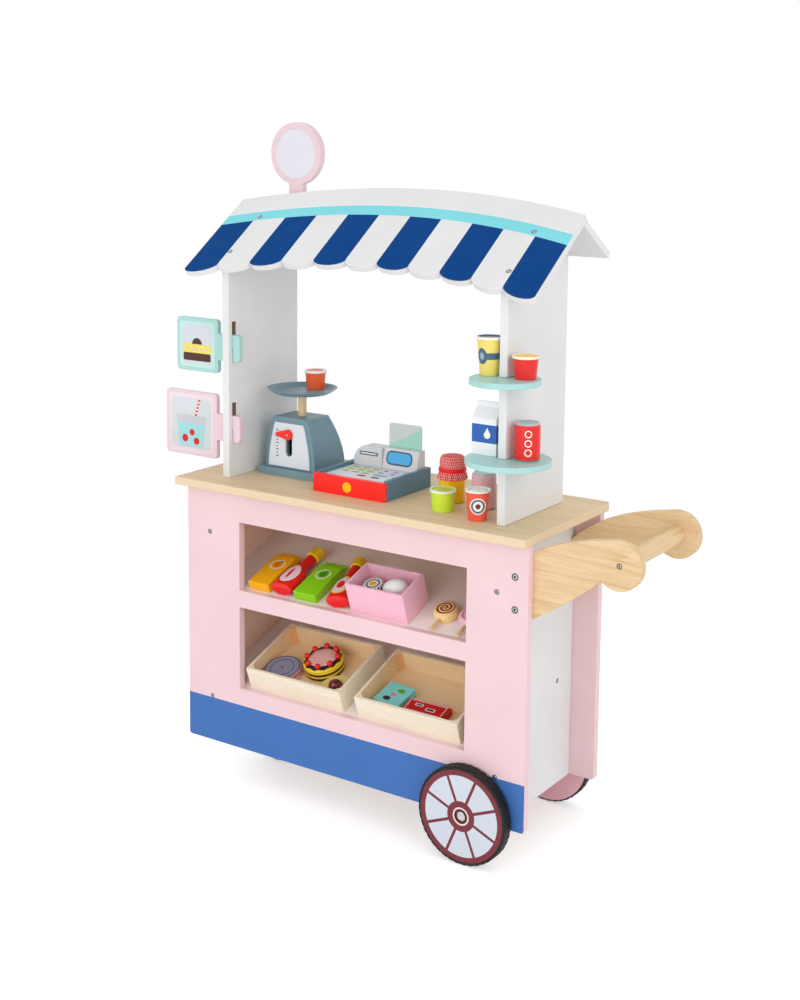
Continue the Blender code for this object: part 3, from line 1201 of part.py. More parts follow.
def main():
    clear_scene()
    cart = bpy.data.objects.new("cart", None)
    cart.location.x = CART_SHIFT
    bpy.context.scene.collection.objects.link(cart)
    panels()
    sides()
    sloping_shelf("middle_shelf", UPPER_SILL_Z)
    sloping_shelf("lower_shelf", LOWER_SILL_Z)
    countertop()
    posts()
    round_shelf("upper_round_shelf", UPPER_SHELF_Z, UPPER_SHELF_RADIUS, UPPER_SHELF_Y, UPPER_LAP)
    round_shelf("lower_round_shelf", LOWER_SHELF_Z, LOWER_SHELF_RADIUS, LOWER_SHELF_Y, LOWER_LAP)
    awning_front()
    awning_rear()
    sign_board()
    handle()
    axle()
    wheel("front", -1)
    wheel("rear", 1)
    caster_mount()
    caster_fork()
    caster_wheel()
    menu_board("mint_menu_board", "mint_paint", MINT_WIDTH, MINT_HEIGHT, MINT_GAP, MINT_MIDDLE)
    menu_board("rose_menu_board", "rose_paint", ROSE_WIDTH, ROSE_HEIGHT, ROSE_GAP, ROSE_MIDDLE)
    scale()
    scale_plunger()
    register_body()
    register_drawer()
    register_blocks()
    jar()
    counter_toys()
    shelf_toys()
    milk_carton()
    bin_with_blocks("left_bin", LEFT_BIN_X)
    bin_with_blocks("right_bin", RIGHT_BIN_X)
    upper_row()
    cakes()
    sweet_boxes()


main()
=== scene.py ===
# %% [markdown]
# # A toy shop cart, finished for its picture
# The cart is a small painted stall on two big wheels: a pink cabinet with two sloping display shelves, a
# wooden counter, two white posts, a striped awning and a pine push handle. Its solids are already built.
# This lesson dresses them: each painted board, turned toy and wheel gets the finish that the real one
# shows, and the small trim that is too fine for the solids is made here and fixed to the piece that carries
# it. The solids come in first, because everything else is placed from their corners.

# %% Load the solids
import math

import bmesh
import bpy
from mathutils import Matrix, Vector


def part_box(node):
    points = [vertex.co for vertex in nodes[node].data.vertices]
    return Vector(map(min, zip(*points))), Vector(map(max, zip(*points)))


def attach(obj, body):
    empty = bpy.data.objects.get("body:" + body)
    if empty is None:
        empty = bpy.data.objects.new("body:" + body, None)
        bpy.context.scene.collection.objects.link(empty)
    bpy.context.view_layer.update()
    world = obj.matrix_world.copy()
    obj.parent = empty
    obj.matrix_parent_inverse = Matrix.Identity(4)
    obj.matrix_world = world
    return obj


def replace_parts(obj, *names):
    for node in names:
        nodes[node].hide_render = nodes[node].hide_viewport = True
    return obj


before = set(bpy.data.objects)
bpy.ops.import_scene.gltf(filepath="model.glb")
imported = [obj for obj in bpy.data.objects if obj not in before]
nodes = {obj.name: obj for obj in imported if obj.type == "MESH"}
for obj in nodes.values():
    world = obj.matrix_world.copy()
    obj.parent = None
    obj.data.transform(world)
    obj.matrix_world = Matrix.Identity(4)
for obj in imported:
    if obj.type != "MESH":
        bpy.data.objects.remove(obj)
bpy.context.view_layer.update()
MM = 0.001

# %% [markdown]
# ## The camera
# The picture looks at the cart from its front right corner, a little above the counter. The cart's own
# right angles give the camera: where its parallel edges meet fixes the turn and the tilt, and the length of
# the counter against the height of the posts fixes the distance. A camera can be aimed at a target, but it
# then needs a roll of its own for the last half degree, so its three axes are written out instead.

# %% Stand the camera
PICTURE_HEIGHT = 1000  # pixels, the longer side of the frame
FOCAL_PIXELS = 1508.9
SENSOR = 36.0  # mm along the longer side
VIEW_SHIFT = -0.18  # share of the longer side: the lens points above the picture's middle
AZIMUTH, ELEVATION, ROLL = (math.radians(a) for a in (33.913, 7.326, 0.5672))
CAMERA_PLACE = Vector((1178.2, -1789.4, 995.2)) * MM

level = math.cos(ELEVATION)
back = Vector((math.sin(AZIMUTH) * level, -math.cos(AZIMUTH) * level, math.sin(ELEVATION)))
level_right = Vector((math.cos(AZIMUTH), math.sin(AZIMUTH), 0))
level_up = back.cross(level_right)
right = level_right * math.cos(ROLL) + level_up * math.sin(ROLL)
up = back.cross(right)
camera_data = bpy.data.cameras.new("camera")
camera_data.sensor_width = SENSOR
camera_data.lens = FOCAL_PIXELS * SENSOR / PICTURE_HEIGHT
camera_data.shift_y = VIEW_SHIFT
camera = bpy.data.objects.new("camera", camera_data)
camera.matrix_world = Matrix.Translation(CAMERA_PLACE) @ Matrix((right, up, back)).transposed().to_4x4()
bpy.context.scene.collection.objects.link(camera)
bpy.context.scene.camera = camera
print("camera lens in mm:", round(camera_data.lens, 1))

# %% [markdown]
# ## Small helpers for materials
# A material here is a net of nodes, and wiring each by hand would hide what it does. A few helpers keep the
# nets readable: one adds a node and fills its sockets, and the others write a sum, a mix of two colours, a
# noise or a ramp as one line. Colours are written as the eye reads them, from 0 to 255, and turned into
# light here.

# %% Helpers for nodes
def colour(red, green, blue):
    """A colour as seen, turned into the linear values that light adds up in."""
    seen = [c / 255 for c in (red, green, blue)]
    linear = [c / 12.92 if c <= 0.04045 else ((c + 0.055) / 1.055) ** 2.4 for c in seen]
    return (*linear, 1.0)


def add_node(tree, kind, values=None, **settings):
    """A node with its settings made. Each socket takes a value, or another node's output."""
    node = tree.nodes.new(kind)
    for name, value in settings.items():
        setattr(node, name, value)
    for socket, value in (values or {}).items():
        if isinstance(value, bpy.types.NodeSocket):
            tree.links.new(value, node.inputs[socket])
        else:
            node.inputs[socket].default_value = value
    return node


def maths(tree, operation, *values):
    return add_node(tree, "ShaderNodeMath", dict(enumerate(values)), operation=operation).outputs[0]


def vectors(tree, operation, *values):
    node = add_node(tree, "ShaderNodeVectorMath", dict(enumerate(values)), operation=operation)
    return node.outputs["Value" if operation in ("DOT_PRODUCT", "LENGTH", "DISTANCE") else "Vector"]


def mix_colours(tree, share, below, above):
    return add_node(tree, "ShaderNodeMix", {0: share, 6: below, 7: above}, data_type="RGBA").outputs[2]


def noise(tree, point, scale, detail=3.0, distortion=0.0):
    values = {"Vector": point, "Scale": scale, "Detail": detail, "Distortion": distortion}
    return add_node(tree, "ShaderNodeTexNoise", values).outputs[0]


def ramp(tree, value, start, end, low=0.0, high=1.0):
    values = {0: value, 1: start, 2: end, 3: low, 4: high}
    return add_node(tree, "ShaderNodeMapRange", values, interpolation_type="SMOOTHSTEP").outputs[0]


def new_group(name, inputs, outputs):
    """An empty shader group with these sockets, and its input and output nodes."""
    tree = bpy.data.node_groups.new(name, "ShaderNodeTree")
    for socket, kind, value in inputs:
        made = tree.interface.new_socket(socket, in_out="INPUT", socket_type=f"NodeSocket{kind}")
        made.default_value = value
    for socket, kind in outputs:
        tree.interface.new_socket(socket, in_out="OUTPUT", socket_type=f"NodeSocket{kind}")
    return tree, tree.nodes.new("NodeGroupInput").outputs, tree.nodes.new("NodeGroupOutput").inputs


# %% [markdown]
# ## Edges that show use and a painted highlight
# Paint is thinnest on an edge, and hands rub it there first, so the edges of painted boards look a little
# paler and duller. The paler colour there is partly a painted highlight, the light that a rounded edge
# catches. Rubbed edges could be painted by hand on each board. A mask is better: the difference between
# the true surface and the same surface with rounded edges is zero on a flat face and grows at an edge, and
# a little noise breaks it up.

# %% Group: rubbed edges with a painted highlight
# WHITE is the colour of rubbed edges, and it also stands for a painted highlight on them
WHITE = colour(246, 244, 240)
SAME, TURNED = 0.995, 0.86  # likeness of the two normals: flat above the first, an edge below the second
PATCH_SCALE = 95.0
edge_tree, given, result = new_group(
    "worn_and_highlit_edges",
    [("Point", "Vector", (0, 0, 0)), ("Width", "Float", 1 * MM)],
    [("Edge", "Float")],
)
rounded_normal = add_node(edge_tree, "ShaderNodeBevel", {"Radius": given["Width"]}, samples=4).outputs[0]
true_normal = add_node(edge_tree, "ShaderNodeNewGeometry").outputs["Normal"]
likeness = vectors(edge_tree, "DOT_PRODUCT", rounded_normal, true_normal)
edge = ramp(edge_tree, likeness, SAME, TURNED)
patches = ramp(edge_tree, noise(edge_tree, given["Point"], PATCH_SCALE), 0.38, 0.62, 0.35, 1.0)
edge_tree.links.new(maths(edge_tree, "MULTIPLY", edge, patches), result["Edge"])
print("group made:", edge_tree.name)

# %% [markdown]
# ## Painted wood
# The boards are sprayed with a satin paint. From near it isn't one colour: it clouds very slightly across a
# board, it has a fine orange-peel skin, and finger marks change how it shines. One group makes all three,
# and each material gives it its own colour, so that pink, white and slate boards look like work from one
# paint shop.

# %% Group: satin paint
CLOUD_SCALE, MARK_SCALE, PEEL_SCALE = 11.0, 38.0, 620.0
paint_tree, given, result = new_group(
    "satin_paint",
    [
        ("Colour", "Color", (0.8, 0.8, 0.8, 1)),
        ("Point", "Vector", (0, 0, 0)),
        ("Clouds", "Float", 0.04),
        ("Wear and highlight", "Float", 0.4),
        ("Roughness", "Float", 0.45),
    ],
    [("Colour", "Color"), ("Roughness", "Float"), ("Height", "Float")],
)
cloud = ramp(paint_tree, noise(paint_tree, given["Point"], CLOUD_SCALE, 4.0), 0.3, 0.7, -1.0, 1.0)
brightness = maths(paint_tree, "MULTIPLY_ADD", cloud, given["Clouds"], 1.0)
clouded = vectors(paint_tree, "SCALE", given["Colour"])
paint_tree.links.new(brightness, clouded.node.inputs["Scale"])
edge_node = add_node(paint_tree, "ShaderNodeGroup", node_tree=edge_tree)
paint_tree.links.new(given["Point"], edge_node.inputs["Point"])
# edges pale towards WHITE: rubbed paint, and a painted highlight along each edge
wear_and_highlight_mask = maths(paint_tree, "MULTIPLY", edge_node.outputs["Edge"], given["Wear and highlight"])
paint_tree.links.new(mix_colours(paint_tree, wear_and_highlight_mask, clouded, WHITE), result["Colour"])
marks = ramp(paint_tree, noise(paint_tree, given["Point"], MARK_SCALE, 5.0, 0.6), 0.35, 0.7, -0.06, 0.08)
dulled = maths(paint_tree, "MULTIPLY_ADD", wear_and_highlight_mask, 0.2, marks)
paint_tree.links.new(maths(paint_tree, "ADD", given["Roughness"], dulled), result["Roughness"])
peel = noise(paint_tree, given["Point"], PEEL_SCALE, 2.0)
paint_tree.links.new(peel, result["Height"])
print("group made:", paint_tree.name)

# %% [markdown]
# ## Bare wood
# The counter, handle, dowels and trays show their grain. Real grain is a stack of yearly rings cut through
# lengthwise: long streaks along the board, with darker late wood between. An image of a plank would repeat
# and blur, so the grain is made of noise that is squeezed across the board and stretched along it, and thin
# ring lines from the same noise.

# %% Group: wood grain
RING_SCALE, STREAK_SCALE, PORE_SCALE = 0.45, 6.0, 26.0  # over the stretched point
grain_tree, given, result = new_group(
    "wood_grain",
    [
        ("Point", "Vector", (0, 0, 0)),
        ("Stretch", "Vector", (2, 30, 30)),
        ("Light", "Color", (0.8, 0.6, 0.4, 1)),
        ("Dark", "Color", (0.5, 0.3, 0.2, 1)),
        ("Rings", "Float", 9.0),
        ("Figure", "Float", 0.6),
    ],
    [("Colour", "Color"), ("Roughness", "Float"), ("Height", "Float")],
)
stretched = vectors(grain_tree, "MULTIPLY", given["Point"], given["Stretch"])
slow = noise(grain_tree, stretched, RING_SCALE, 2.0, 0.4)
ring = maths(grain_tree, "FRACT", maths(grain_tree, "MULTIPLY", slow, given["Rings"]))
late_wood = maths(grain_tree, "POWER", ring, 3.0)
streaks = ramp(grain_tree, noise(grain_tree, stretched, STREAK_SCALE, 6.0, 0.3), 0.3, 0.75)
pores = ramp(grain_tree, noise(grain_tree, stretched, PORE_SCALE, 2.0), 0.55, 0.75)
both = maths(grain_tree, "MULTIPLY_ADD", streaks, 0.45, maths(grain_tree, "MULTIPLY", late_wood, 0.5))
figure = maths(grain_tree, "MULTIPLY", maths(grain_tree, "MULTIPLY_ADD", pores, 0.15, both), given["Figure"])
grain_tree.links.new(mix_colours(grain_tree, figure, given["Light"], given["Dark"]), result["Colour"])
grain_tree.links.new(maths(grain_tree, "MULTIPLY_ADD", streaks, 0.12, 0.48), result["Roughness"])
grain_tree.links.new(maths(grain_tree, "MULTIPLY_ADD", pores, -0.6, streaks), result["Height"])
print("group made:", grain_tree.name)

# %% [markdown]
# ## Where a print lies
# The toys carry small printed labels: ovals, rings and bands. They could be thin plates, but a plate can't
# follow a bottle's belly. A print is a place instead: its middle, the two directions it lies along, each
# scaled so that the print's rim is at 1, and the side it faces. One group measures how far a point is from
# the middle, and a second turns that distance into a ring or a disc with a crisp edge.

# %% Groups: place and band of a print
OUT_OF_REACH = 100.0  # a distance that no print comes to, for points behind its face
place_tree, given, result = new_group(
    "print_place",
    [(name, "Vector", (0, 0, 0)) for name in ("Point", "Middle", "Across", "Along", "Facing")],
    [("Distance", "Float")],
)
offset = vectors(place_tree, "SUBTRACT", given["Point"], given["Middle"])
sides = [vectors(place_tree, "DOT_PRODUCT", offset, given[name]) for name in ("Across", "Along", "Facing")]
across_squared = maths(place_tree, "MULTIPLY", sides[0], sides[0])
squared = maths(place_tree, "MULTIPLY_ADD", sides[1], sides[1], across_squared)
behind = maths(place_tree, "MULTIPLY", maths(place_tree, "LESS_THAN", sides[2], 0.0), OUT_OF_REACH)
place_tree.links.new(maths(place_tree, "ADD", maths(place_tree, "SQRT", squared), behind), result["Distance"])

band_tree, given, result = new_group(
    "print_band",
    [("Value", "Float", 0.0), ("From", "Float", 0.0), ("To", "Float", 1.0), ("Softness", "Float", 0.02)],
    [("Mask", "Float")],
)


def soft_step(limit, low, high):
    """A step at a limit that takes the group's softness to come up or down."""
    start = maths(band_tree, "SUBTRACT", limit, given["Softness"])
    end = maths(band_tree, "ADD", limit, given["Softness"])
    return ramp(band_tree, given["Value"], start, end, low, high)


rise = soft_step(given["From"], 0.0, 1.0)
fall = soft_step(given["To"], 1.0, 0.0)
band_tree.links.new(maths(band_tree, "MULTIPLY", rise, fall), result["Mask"])


def grouped(tree, group, values, output):
    """One output of a group that is placed in a material with its own values."""
    return add_node(tree, "ShaderNodeGroup", values, node_tree=group).outputs[output]


def band(tree, value, start, end, softness=0.02):
    values = {"Value": value, "From": start, "To": end, "Softness": softness}
    return grouped(tree, band_tree, values, "Mask")


def printed(tree, below, point, middle, across, along, inner, outer, ink):
    """The colour below with one printed oval ring on it, from the inner to the outer share of the oval."""
    facing = across.cross(along)
    values = {
        "Point": point,
        "Middle": middle,
        "Across": across / across.length_squared,
        "Along": along / along.length_squared,
        "Facing": facing,
    }
    distance = grouped(tree, place_tree, values, "Distance")
    return mix_colours(tree, band(tree, distance, inner, outer), below, ink)


print("groups made:", place_tree.name, band_tree.name)

# %% [markdown]
# ## Two kinds of material
# Nearly everything on the cart is either paint or bare wood, so two makers are enough. Each takes the
# numbers of its finish, and a pattern may stand in for a plain colour. The gloss that doesn't change over a
# surface is set on the shader itself, and only what varies comes from the groups.

# %% Makers for paint and for wood
INK_LINE = 0.3 * MM


def blank(name):
    """A new material, its tree, its shader and the point that is shaded, in the cart's own frame."""
    made = bpy.data.materials.new(name)
    made.use_nodes = True
    tree = made.node_tree
    point = tree.nodes.new("ShaderNodeTexCoord").outputs["Object"]
    return made, tree, tree.nodes["Principled BSDF"], point


def finish_with(tree, shader, group, depth):
    """Wires a group's colour, roughness and height to the shader."""
    tree.links.new(group.outputs["Colour"], shader.inputs["Base Color"])
    tree.links.new(group.outputs["Roughness"], shader.inputs["Roughness"])
    values = {"Height": group.outputs["Height"], "Distance": depth, "Strength": 0.6}
    tree.links.new(add_node(tree, "ShaderNodeBump", values).outputs[0], shader.inputs["Normal"])


# the edge amount sets how far edges pale: rubbed paint and a painted highlight
def paint(name, tone, roughness=0.45, coat=0.08, clouds=0.022, wear_and_highlight=0.3, depth=0.03 * MM, gloss=0.2):
    """A painted finish. The tone is a colour, or a function that makes a pattern from tree and point."""
    made, tree, shader, point = blank(name)
    values = {"Point": point, "Clouds": clouds, "Wear and highlight": wear_and_highlight, "Roughness": roughness}
    values["Colour"] = tone(tree, point) if callable(tone) else tone
    finish_with(tree, shader, add_node(tree, "ShaderNodeGroup", values, node_tree=paint_tree), depth)
    shader.inputs["Specular IOR Level"].default_value = gloss
    shader.inputs["Coat Weight"].default_value = coat
    shader.inputs["Coat Roughness"].default_value = 0.2
    return made


def wood(name, light, dark, stretch, rings=9.0, figure=0.6, coat=0.04, depth=0.12 * MM, over=None):
    """A bare wood finish. A function given as over changes the grain's colour from place to place."""
    made, tree, shader, point = blank(name)
    values = {"Point": point, "Stretch": stretch, "Rings": rings, "Figure": figure}
    values.update({"Light": light, "Dark": dark})
    group = add_node(tree, "ShaderNodeGroup", values, node_tree=grain_tree)
    finish_with(tree, shader, group, depth)
    if over:
        tree.links.new(over(tree, point, group.outputs["Colour"]), shader.inputs["Base Color"])
    shader.inputs["Coat Weight"].default_value = coat
    shader.inputs["Coat Roughness"].default_value = 0.3
    return made


def dress(material, *names):
    """Gives solids their finish."""
    for name in names:
        for slot in nodes[name].material_slots:
            slot.material = material


def reach(node, axis):
    """The lowest and the highest point of a solid along an axis."""
    along = [vertex.co.dot(axis) for vertex in nodes[node].data.vertices]
    return min(along), max(along)


# %% [markdown]
# ## Softened edges
# A sawn board never ends in a razor edge: its corners are sanded to about a millimetre, and that thin line
# catches the light all round it. The solids keep sharp edges, so a bevel goes on top. The flat faces come
# as many triangles, which a bevel would follow, so they are first welded and merged.

# %% Round the edges of boards
def round_edges(piece, width):
    """A narrow round on every edge that turns by more than 50 degrees."""
    rounding = piece.modifiers.new("rounding", "BEVEL")
    rounding.width = width
    rounding.segments = 2
    rounding.limit_method = "ANGLE"
    rounding.angle_limit = math.radians(50)
    rounding.harden_normals = True


def soften(width, *names):
    """Merges the flat faces of solids, and rounds the edges that are left."""
    for name in names:
        piece = nodes[name]
        weld = piece.modifiers.new("weld", "WELD")
        weld.merge_threshold = 0.002 * MM
        merge = piece.modifiers.new("merge flat faces", "DECIMATE")
        merge.decimate_type = "DISSOLVE"
        merge.angle_limit = math.radians(1)
        round_edges(piece, width)


# %% [markdown]
# ## Helpers for trim
# The trim is of three sorts: thin plates cut to an outline, such as keys and labels on flat faces; turned
# pieces, such as screws and cherries; and one or two pieces with a form of their own. Each is made once by
# a helper, in the plane of the face it is fixed to, and then rides on the piece that carries it.

# %% Helpers for plates and turned pieces
X_AXIS, Y_AXIS, Z_AXIS = Vector((1, 0, 0)), Vector((0, 1, 0)), Vector((0, 0, 1))
PRINT_THICKNESS = 0.25 * MM


def place_piece(name, bm, material, body, smooth=True):
    """Makes an object of a finished mesh and lets it ride on a body."""
    bmesh.ops.recalc_face_normals(bm, faces=bm.faces)
    mesh = bpy.data.meshes.new(name)
    bm.to_mesh(mesh)
    bm.free()
    if smooth:
        mesh.shade_smooth()
        mesh.set_sharp_from_angle(angle=math.radians(38))
    mesh.materials.append(material)
    piece = bpy.data.objects.new(name, mesh)
    bpy.context.scene.collection.objects.link(piece)
    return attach(piece, body)


def millimetres(points):
    """Pairs written in millimetres, turned into metres."""
    return [(a * MM, b * MM) for a, b in points]


def oval(half_width, half_height, at=(0, 0), points=32):
    angles = [math.tau * i / points for i in range(points)]
    return [(at[0] + half_width * math.cos(a), at[1] + half_height * math.sin(a)) for a in angles]


def tablet(width, height, radius, at=(0, 0), steps=5):
    """A rectangle with rounded corners about a middle."""
    outline = []
    for quarter, (sx, sy) in enumerate(((1, 1), (-1, 1), (-1, -1), (1, -1))):
        cx, cy = at[0] + sx * (width / 2 - radius), at[1] + sy * (height / 2 - radius)
        for i in range(steps + 1):
            a = math.pi / 2 * (quarter + i / steps)
            outline.append((cx + radius * math.cos(a), cy + radius * math.sin(a)))
    return outline


def plate(name, outline, origin, across, along, material, body, thickness=PRINT_THICKNESS):
    """A thin plate on a face. The outline is drawn across and along the face, from the origin on it."""
    facing = across.cross(along)
    bm = bmesh.new()
    levels = []
    for height in (-thickness, thickness):
        levels.append([bm.verts.new(origin + across * a + along * b + facing * height) for a, b in outline])
    bm.faces.new(levels[0])
    bm.faces.new(levels[1])
    for i in range(len(outline)):
        j = (i + 1) % len(outline)
        bm.faces.new((levels[0][i], levels[0][j], levels[1][j], levels[1][i]))
    return place_piece(name, bm, material, body, smooth=False)


def lathe(name, profile, origin, across, along, material, body, sides=32, wave=None):
    """A profile of (radius, height) points turned about the axis that stands square on across and along."""
    axis = across.cross(along)
    bm = bmesh.new()
    rings = []
    for level, (radius, height) in enumerate(profile):
        ring = []
        for i in range(sides if radius > 0 else 1):
            a = math.tau * i / sides
            r = radius + (wave(a, level) if wave else 0.0)
            out = across * math.cos(a) + along * math.sin(a)
            ring.append(bm.verts.new(origin + out * r + axis * height))
        rings.append(ring)
    for low, high in zip(rings, rings[1:]):
        for i in range(sides):
            j = (i + 1) % sides
            corners = [low[i % len(low)], low[j % len(low)], high[j % len(high)], high[i % len(high)]]
            bm.faces.new(list(dict.fromkeys(corners)))
    return place_piece(name, bm, material, body)


# %% [markdown]
# ## White boards
# The posts, the cabinet's sides and the rear half of the roof are the same cool white. The shelves and the
# inside of the cabinet are a warmer cream, which is painted bounce light from the pink panels and the wood,
# brightest inside, where the lamps reach least. The left post has two slots for the menu boards, and there
# the saw cut through bare brown board, which shows as a dark strip above each hook. The strip is a pattern in
# the paint: where a point is inside the board's faces, it is bare.

# %% Finish the white boards
BOARD_WHITE = colour(229, 229, 230)
BARE_BOARD = colour(148, 112, 92)
left_post_low, left_post_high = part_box("left_post")
SLOTS_FROM, SLOTS_TO = -78 * MM, -65 * MM  # from front to back, the stretch that holds both slots


def post_tone(tree, point):
    """White, but brown where the surface lies between the post's faces, away from its outer edges."""
    parts = add_node(tree, "ShaderNodeSeparateXYZ", {0: point}).outputs
    margin = 0.15 * MM
    inside = band(tree, parts["X"], left_post_low.x + margin, left_post_high.x - margin, margin / 3)
    near_slot = band(tree, parts["Y"], SLOTS_FROM, SLOTS_TO, margin)
    return mix_colours(tree, maths(tree, "MULTIPLY", inside, near_slot), BOARD_WHITE, BARE_BOARD)


# painted bounce light: the shelves' faint warm tint and the bright cream inside the cabinet stand for light
# thrown back by the pink panels
SHELF_CREAM_WITH_PAINTED_BOUNCE, INSIDE_PAINTED_BOUNCE = colour(248, 236, 233), colour(252, 217, 198)
inside_low, inside_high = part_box("middle_shelf")
CRISP = 0.1 * MM  # the softness of a pattern's rim


def inside_bounce_tone(outer):
    """Painted bounce light, a warm cream, where a board shows inside the cabinet, the outer colour elsewhere.
    """

    def tone(tree, point):
        parts = add_node(tree, "ShaderNodeSeparateXYZ", {0: point}).outputs
        margin = 0.6 * MM
        across = band(tree, parts["X"], inside_low.x - margin, inside_high.x + margin, CRISP)
        deep = band(tree, parts["Y"], inside_low.y - margin, inside_high.y + margin, CRISP)
        return mix_colours(tree, maths(tree, "MULTIPLY", across, deep), outer, INSIDE_PAINTED_BOUNCE)

    return tone


white_paint = paint("white_paint", BOARD_WHITE, wear_and_highlight=0.2)
dress(white_paint, "right_post", "awning_rear", "caster_rail")
# the side panels' inner faces take the painted bounce light
dress(paint("side_panel_paint", inside_bounce_tone(BOARD_WHITE), wear_and_highlight=0.2), "left_side_panel", "right_side_panel")
dress(paint("shelf_paint", SHELF_CREAM_WITH_PAINTED_BOUNCE, wear_and_highlight=0.2), "middle_shelf", "lower_shelf")
dress(paint("white_post_paint", post_tone, wear_and_highlight=0.2), "left_post")
soften(1.0 * MM, "right_side_panel", "left_side_panel", "right_post", "awning_rear")
print("white boards dressed")

# %% [markdown]
# ## The pink cabinet
# The front and rear panels are the palest pink. A wide blue band runs along the foot of the front panel, on
# its face only. It could be a second board, but on the real one it is painted, with a clean masked edge, so
# it is a pattern: blue where the face is in front and low.

# %% Finish the panels
PANEL_PINK = colour(238, 207, 211)
BAND_BLUE = colour(66, 113, 183)
front_low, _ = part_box("front_panel")
BAND_TOP = 126.6 * MM
FACE_SKIN = 0.7 * MM  # how deep below a board's face its print reaches


def panel_tone(tree, point):
    parts = add_node(tree, "ShaderNodeSeparateXYZ", {0: point}).outputs
    low = band(tree, parts["Z"], -1.0, BAND_TOP, INK_LINE)
    face = maths(tree, "LESS_THAN", parts["Y"], front_low.y + FACE_SKIN)
    return mix_colours(tree, maths(tree, "MULTIPLY", low, face), PANEL_PINK, BAND_BLUE)


dress(paint("pink_and_blue_paint", panel_tone), "front_panel")
# the rear panel's inner face takes the painted bounce light
dress(paint("rear_panel_paint", inside_bounce_tone(PANEL_PINK)), "rear_panel")
soften(1.0 * MM, "front_panel", "rear_panel")
print("blue band up to mm:", round(1000 * BAND_TOP, 1))

# %% [markdown]
# ## The awning
# The roof's front board is flat, cut to an arch above and to scallops below, and printed: a white strip, a
# cyan line that follows the arch, and under it a stripe for each scallop, blue and white in turn. The
# pattern is laid out in the board's own plane. A point's distance down the slope from the arched top edge
# says which strip it is in, and its distance along the board says which stripe. The solid's scallops are
# cut in few steps, so a finer board takes its place.

# %% Print the awning
STRIPE_BLUE = colour(8, 68, 134)
CYAN = colour(133, 219, 228)
PITCH = math.radians(35.8)
STRIPE, STRIPES, ARCH = 54 * MM, 11, 43 * MM
awning_low, awning_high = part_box("awning_front")
awning_middle = (awning_low.x + awning_high.x) / 2
ridge = Vector((awning_middle, 21.7 * MM, 865.3 * MM))
up_slope = Vector((0, math.cos(PITCH), math.sin(PITCH)))
off_slope = Vector((0, -math.sin(PITCH), math.cos(PITCH)))
ROOF_BOARD = 10 * MM
TOP_EDGE, FOOT_EDGE = 10.7 * MM, -154.5 * MM  # up the slope, at the board's ends
CYAN_FROM, CYAN_TO = 42.4 * MM, 63.8 * MM  # down from the top edge
SCALLOP, SCALLOP_STEPS, ARCH_STEPS = 13 * MM, 16, 40
STRIPE_RIM = 0.004  # the softness between two stripes, as a share of one


def awning_outline():
    """The arched top edge, and a half oval for each stripe below."""
    half = STRIPE * STRIPES / 2
    outline = []
    for i in range(STRIPES * SCALLOP_STEPS + 1):
        stripe, step = divmod(i, SCALLOP_STEPS)
        across = -math.cos(math.pi * step / SCALLOP_STEPS)
        x = (stripe + (1 + across) / 2) * STRIPE - half
        rise = ARCH * (1 - (x / half) ** 2)
        outline.append((x, rise + FOOT_EDGE - SCALLOP * math.sqrt(max(0.0, 1 - across**2))))
    for i in range(ARCH_STEPS + 1):
        x = half * (1 - 2 * i / ARCH_STEPS)
        outline.append((x, ARCH * (1 - (x / half) ** 2) + TOP_EDGE))
    return outline


def awning_tone(tree, point):
    offset = vectors(tree, "SUBTRACT", point, ridge)
    x = vectors(tree, "DOT_PRODUCT", offset, X_AXIS)
    share = maths(tree, "DIVIDE", x, STRIPE * STRIPES / 2)
    curve = maths(tree, "MULTIPLY_ADD", maths(tree, "MULTIPLY", share, share), -ARCH, ARCH + TOP_EDGE)
    down = maths(tree, "SUBTRACT", curve, vectors(tree, "DOT_PRODUCT", offset, up_slope))
    from_end = maths(tree, "ADD", maths(tree, "DIVIDE", x, STRIPE), STRIPES / 2)
    stripe = maths(tree, "FLOORED_MODULO", from_end, 2.0)
    striped = mix_colours(tree, band(tree, stripe, 0.0, 1.0, STRIPE_RIM), BOARD_WHITE, STRIPE_BLUE)
    striped = mix_colours(tree, band(tree, down, -1.0, CYAN_TO, INK_LINE), striped, BOARD_WHITE)
    lined = mix_colours(tree, band(tree, down, CYAN_FROM, CYAN_TO, INK_LINE), striped, CYAN)
    height = vectors(tree, "DOT_PRODUCT", offset, off_slope)
    face = maths(tree, "GREATER_THAN", height, ROOF_BOARD - FACE_SKIN)
    return mix_colours(tree, face, BOARD_WHITE, lined)


awning_paint = paint("awning_print", awning_tone, roughness=0.6, coat=0.0, gloss=0.04)
awning_place = ridge + off_slope * ROOF_BOARD / 2
awning = plate(
    "awning_board", awning_outline(), awning_place, X_AXIS, up_slope, awning_paint, "cart", ROOF_BOARD / 2
)
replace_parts(awning, "awning_front")
round_edges(awning, 0.9 * MM)
print("points in the awning's outline:", len(awning_outline()))

# %% [markdown]
# ## Counter, handle and trays
# The counter is a blond board with faint grain along its length and a paler sawn edge. The handle's arms
# and bar are pine, warmer and with stronger lines. The two trays are light basswood, with a painted shade
# inside them, a deeper and warmer tone where less light reaches. Their corner blocks are darker offcuts whose
# slanted faces give them away, so the surface's own direction picks them out. The trays lie on the slope of
# the shelves, so two directions, up the slope and square off it, are set here for everything that lies there.

# %% Finish the bare wood
COUNTER_LIGHT, COUNTER_DARK = colour(230, 205, 166), colour(204, 170, 127)
COUNTER_EDGE = colour(233, 211, 177)
PINE_LIGHT, PINE_DARK = colour(233, 203, 158), colour(196, 152, 100)
BASS_LIGHT, BASS_DARK = colour(247, 237, 216), colour(226, 205, 168)
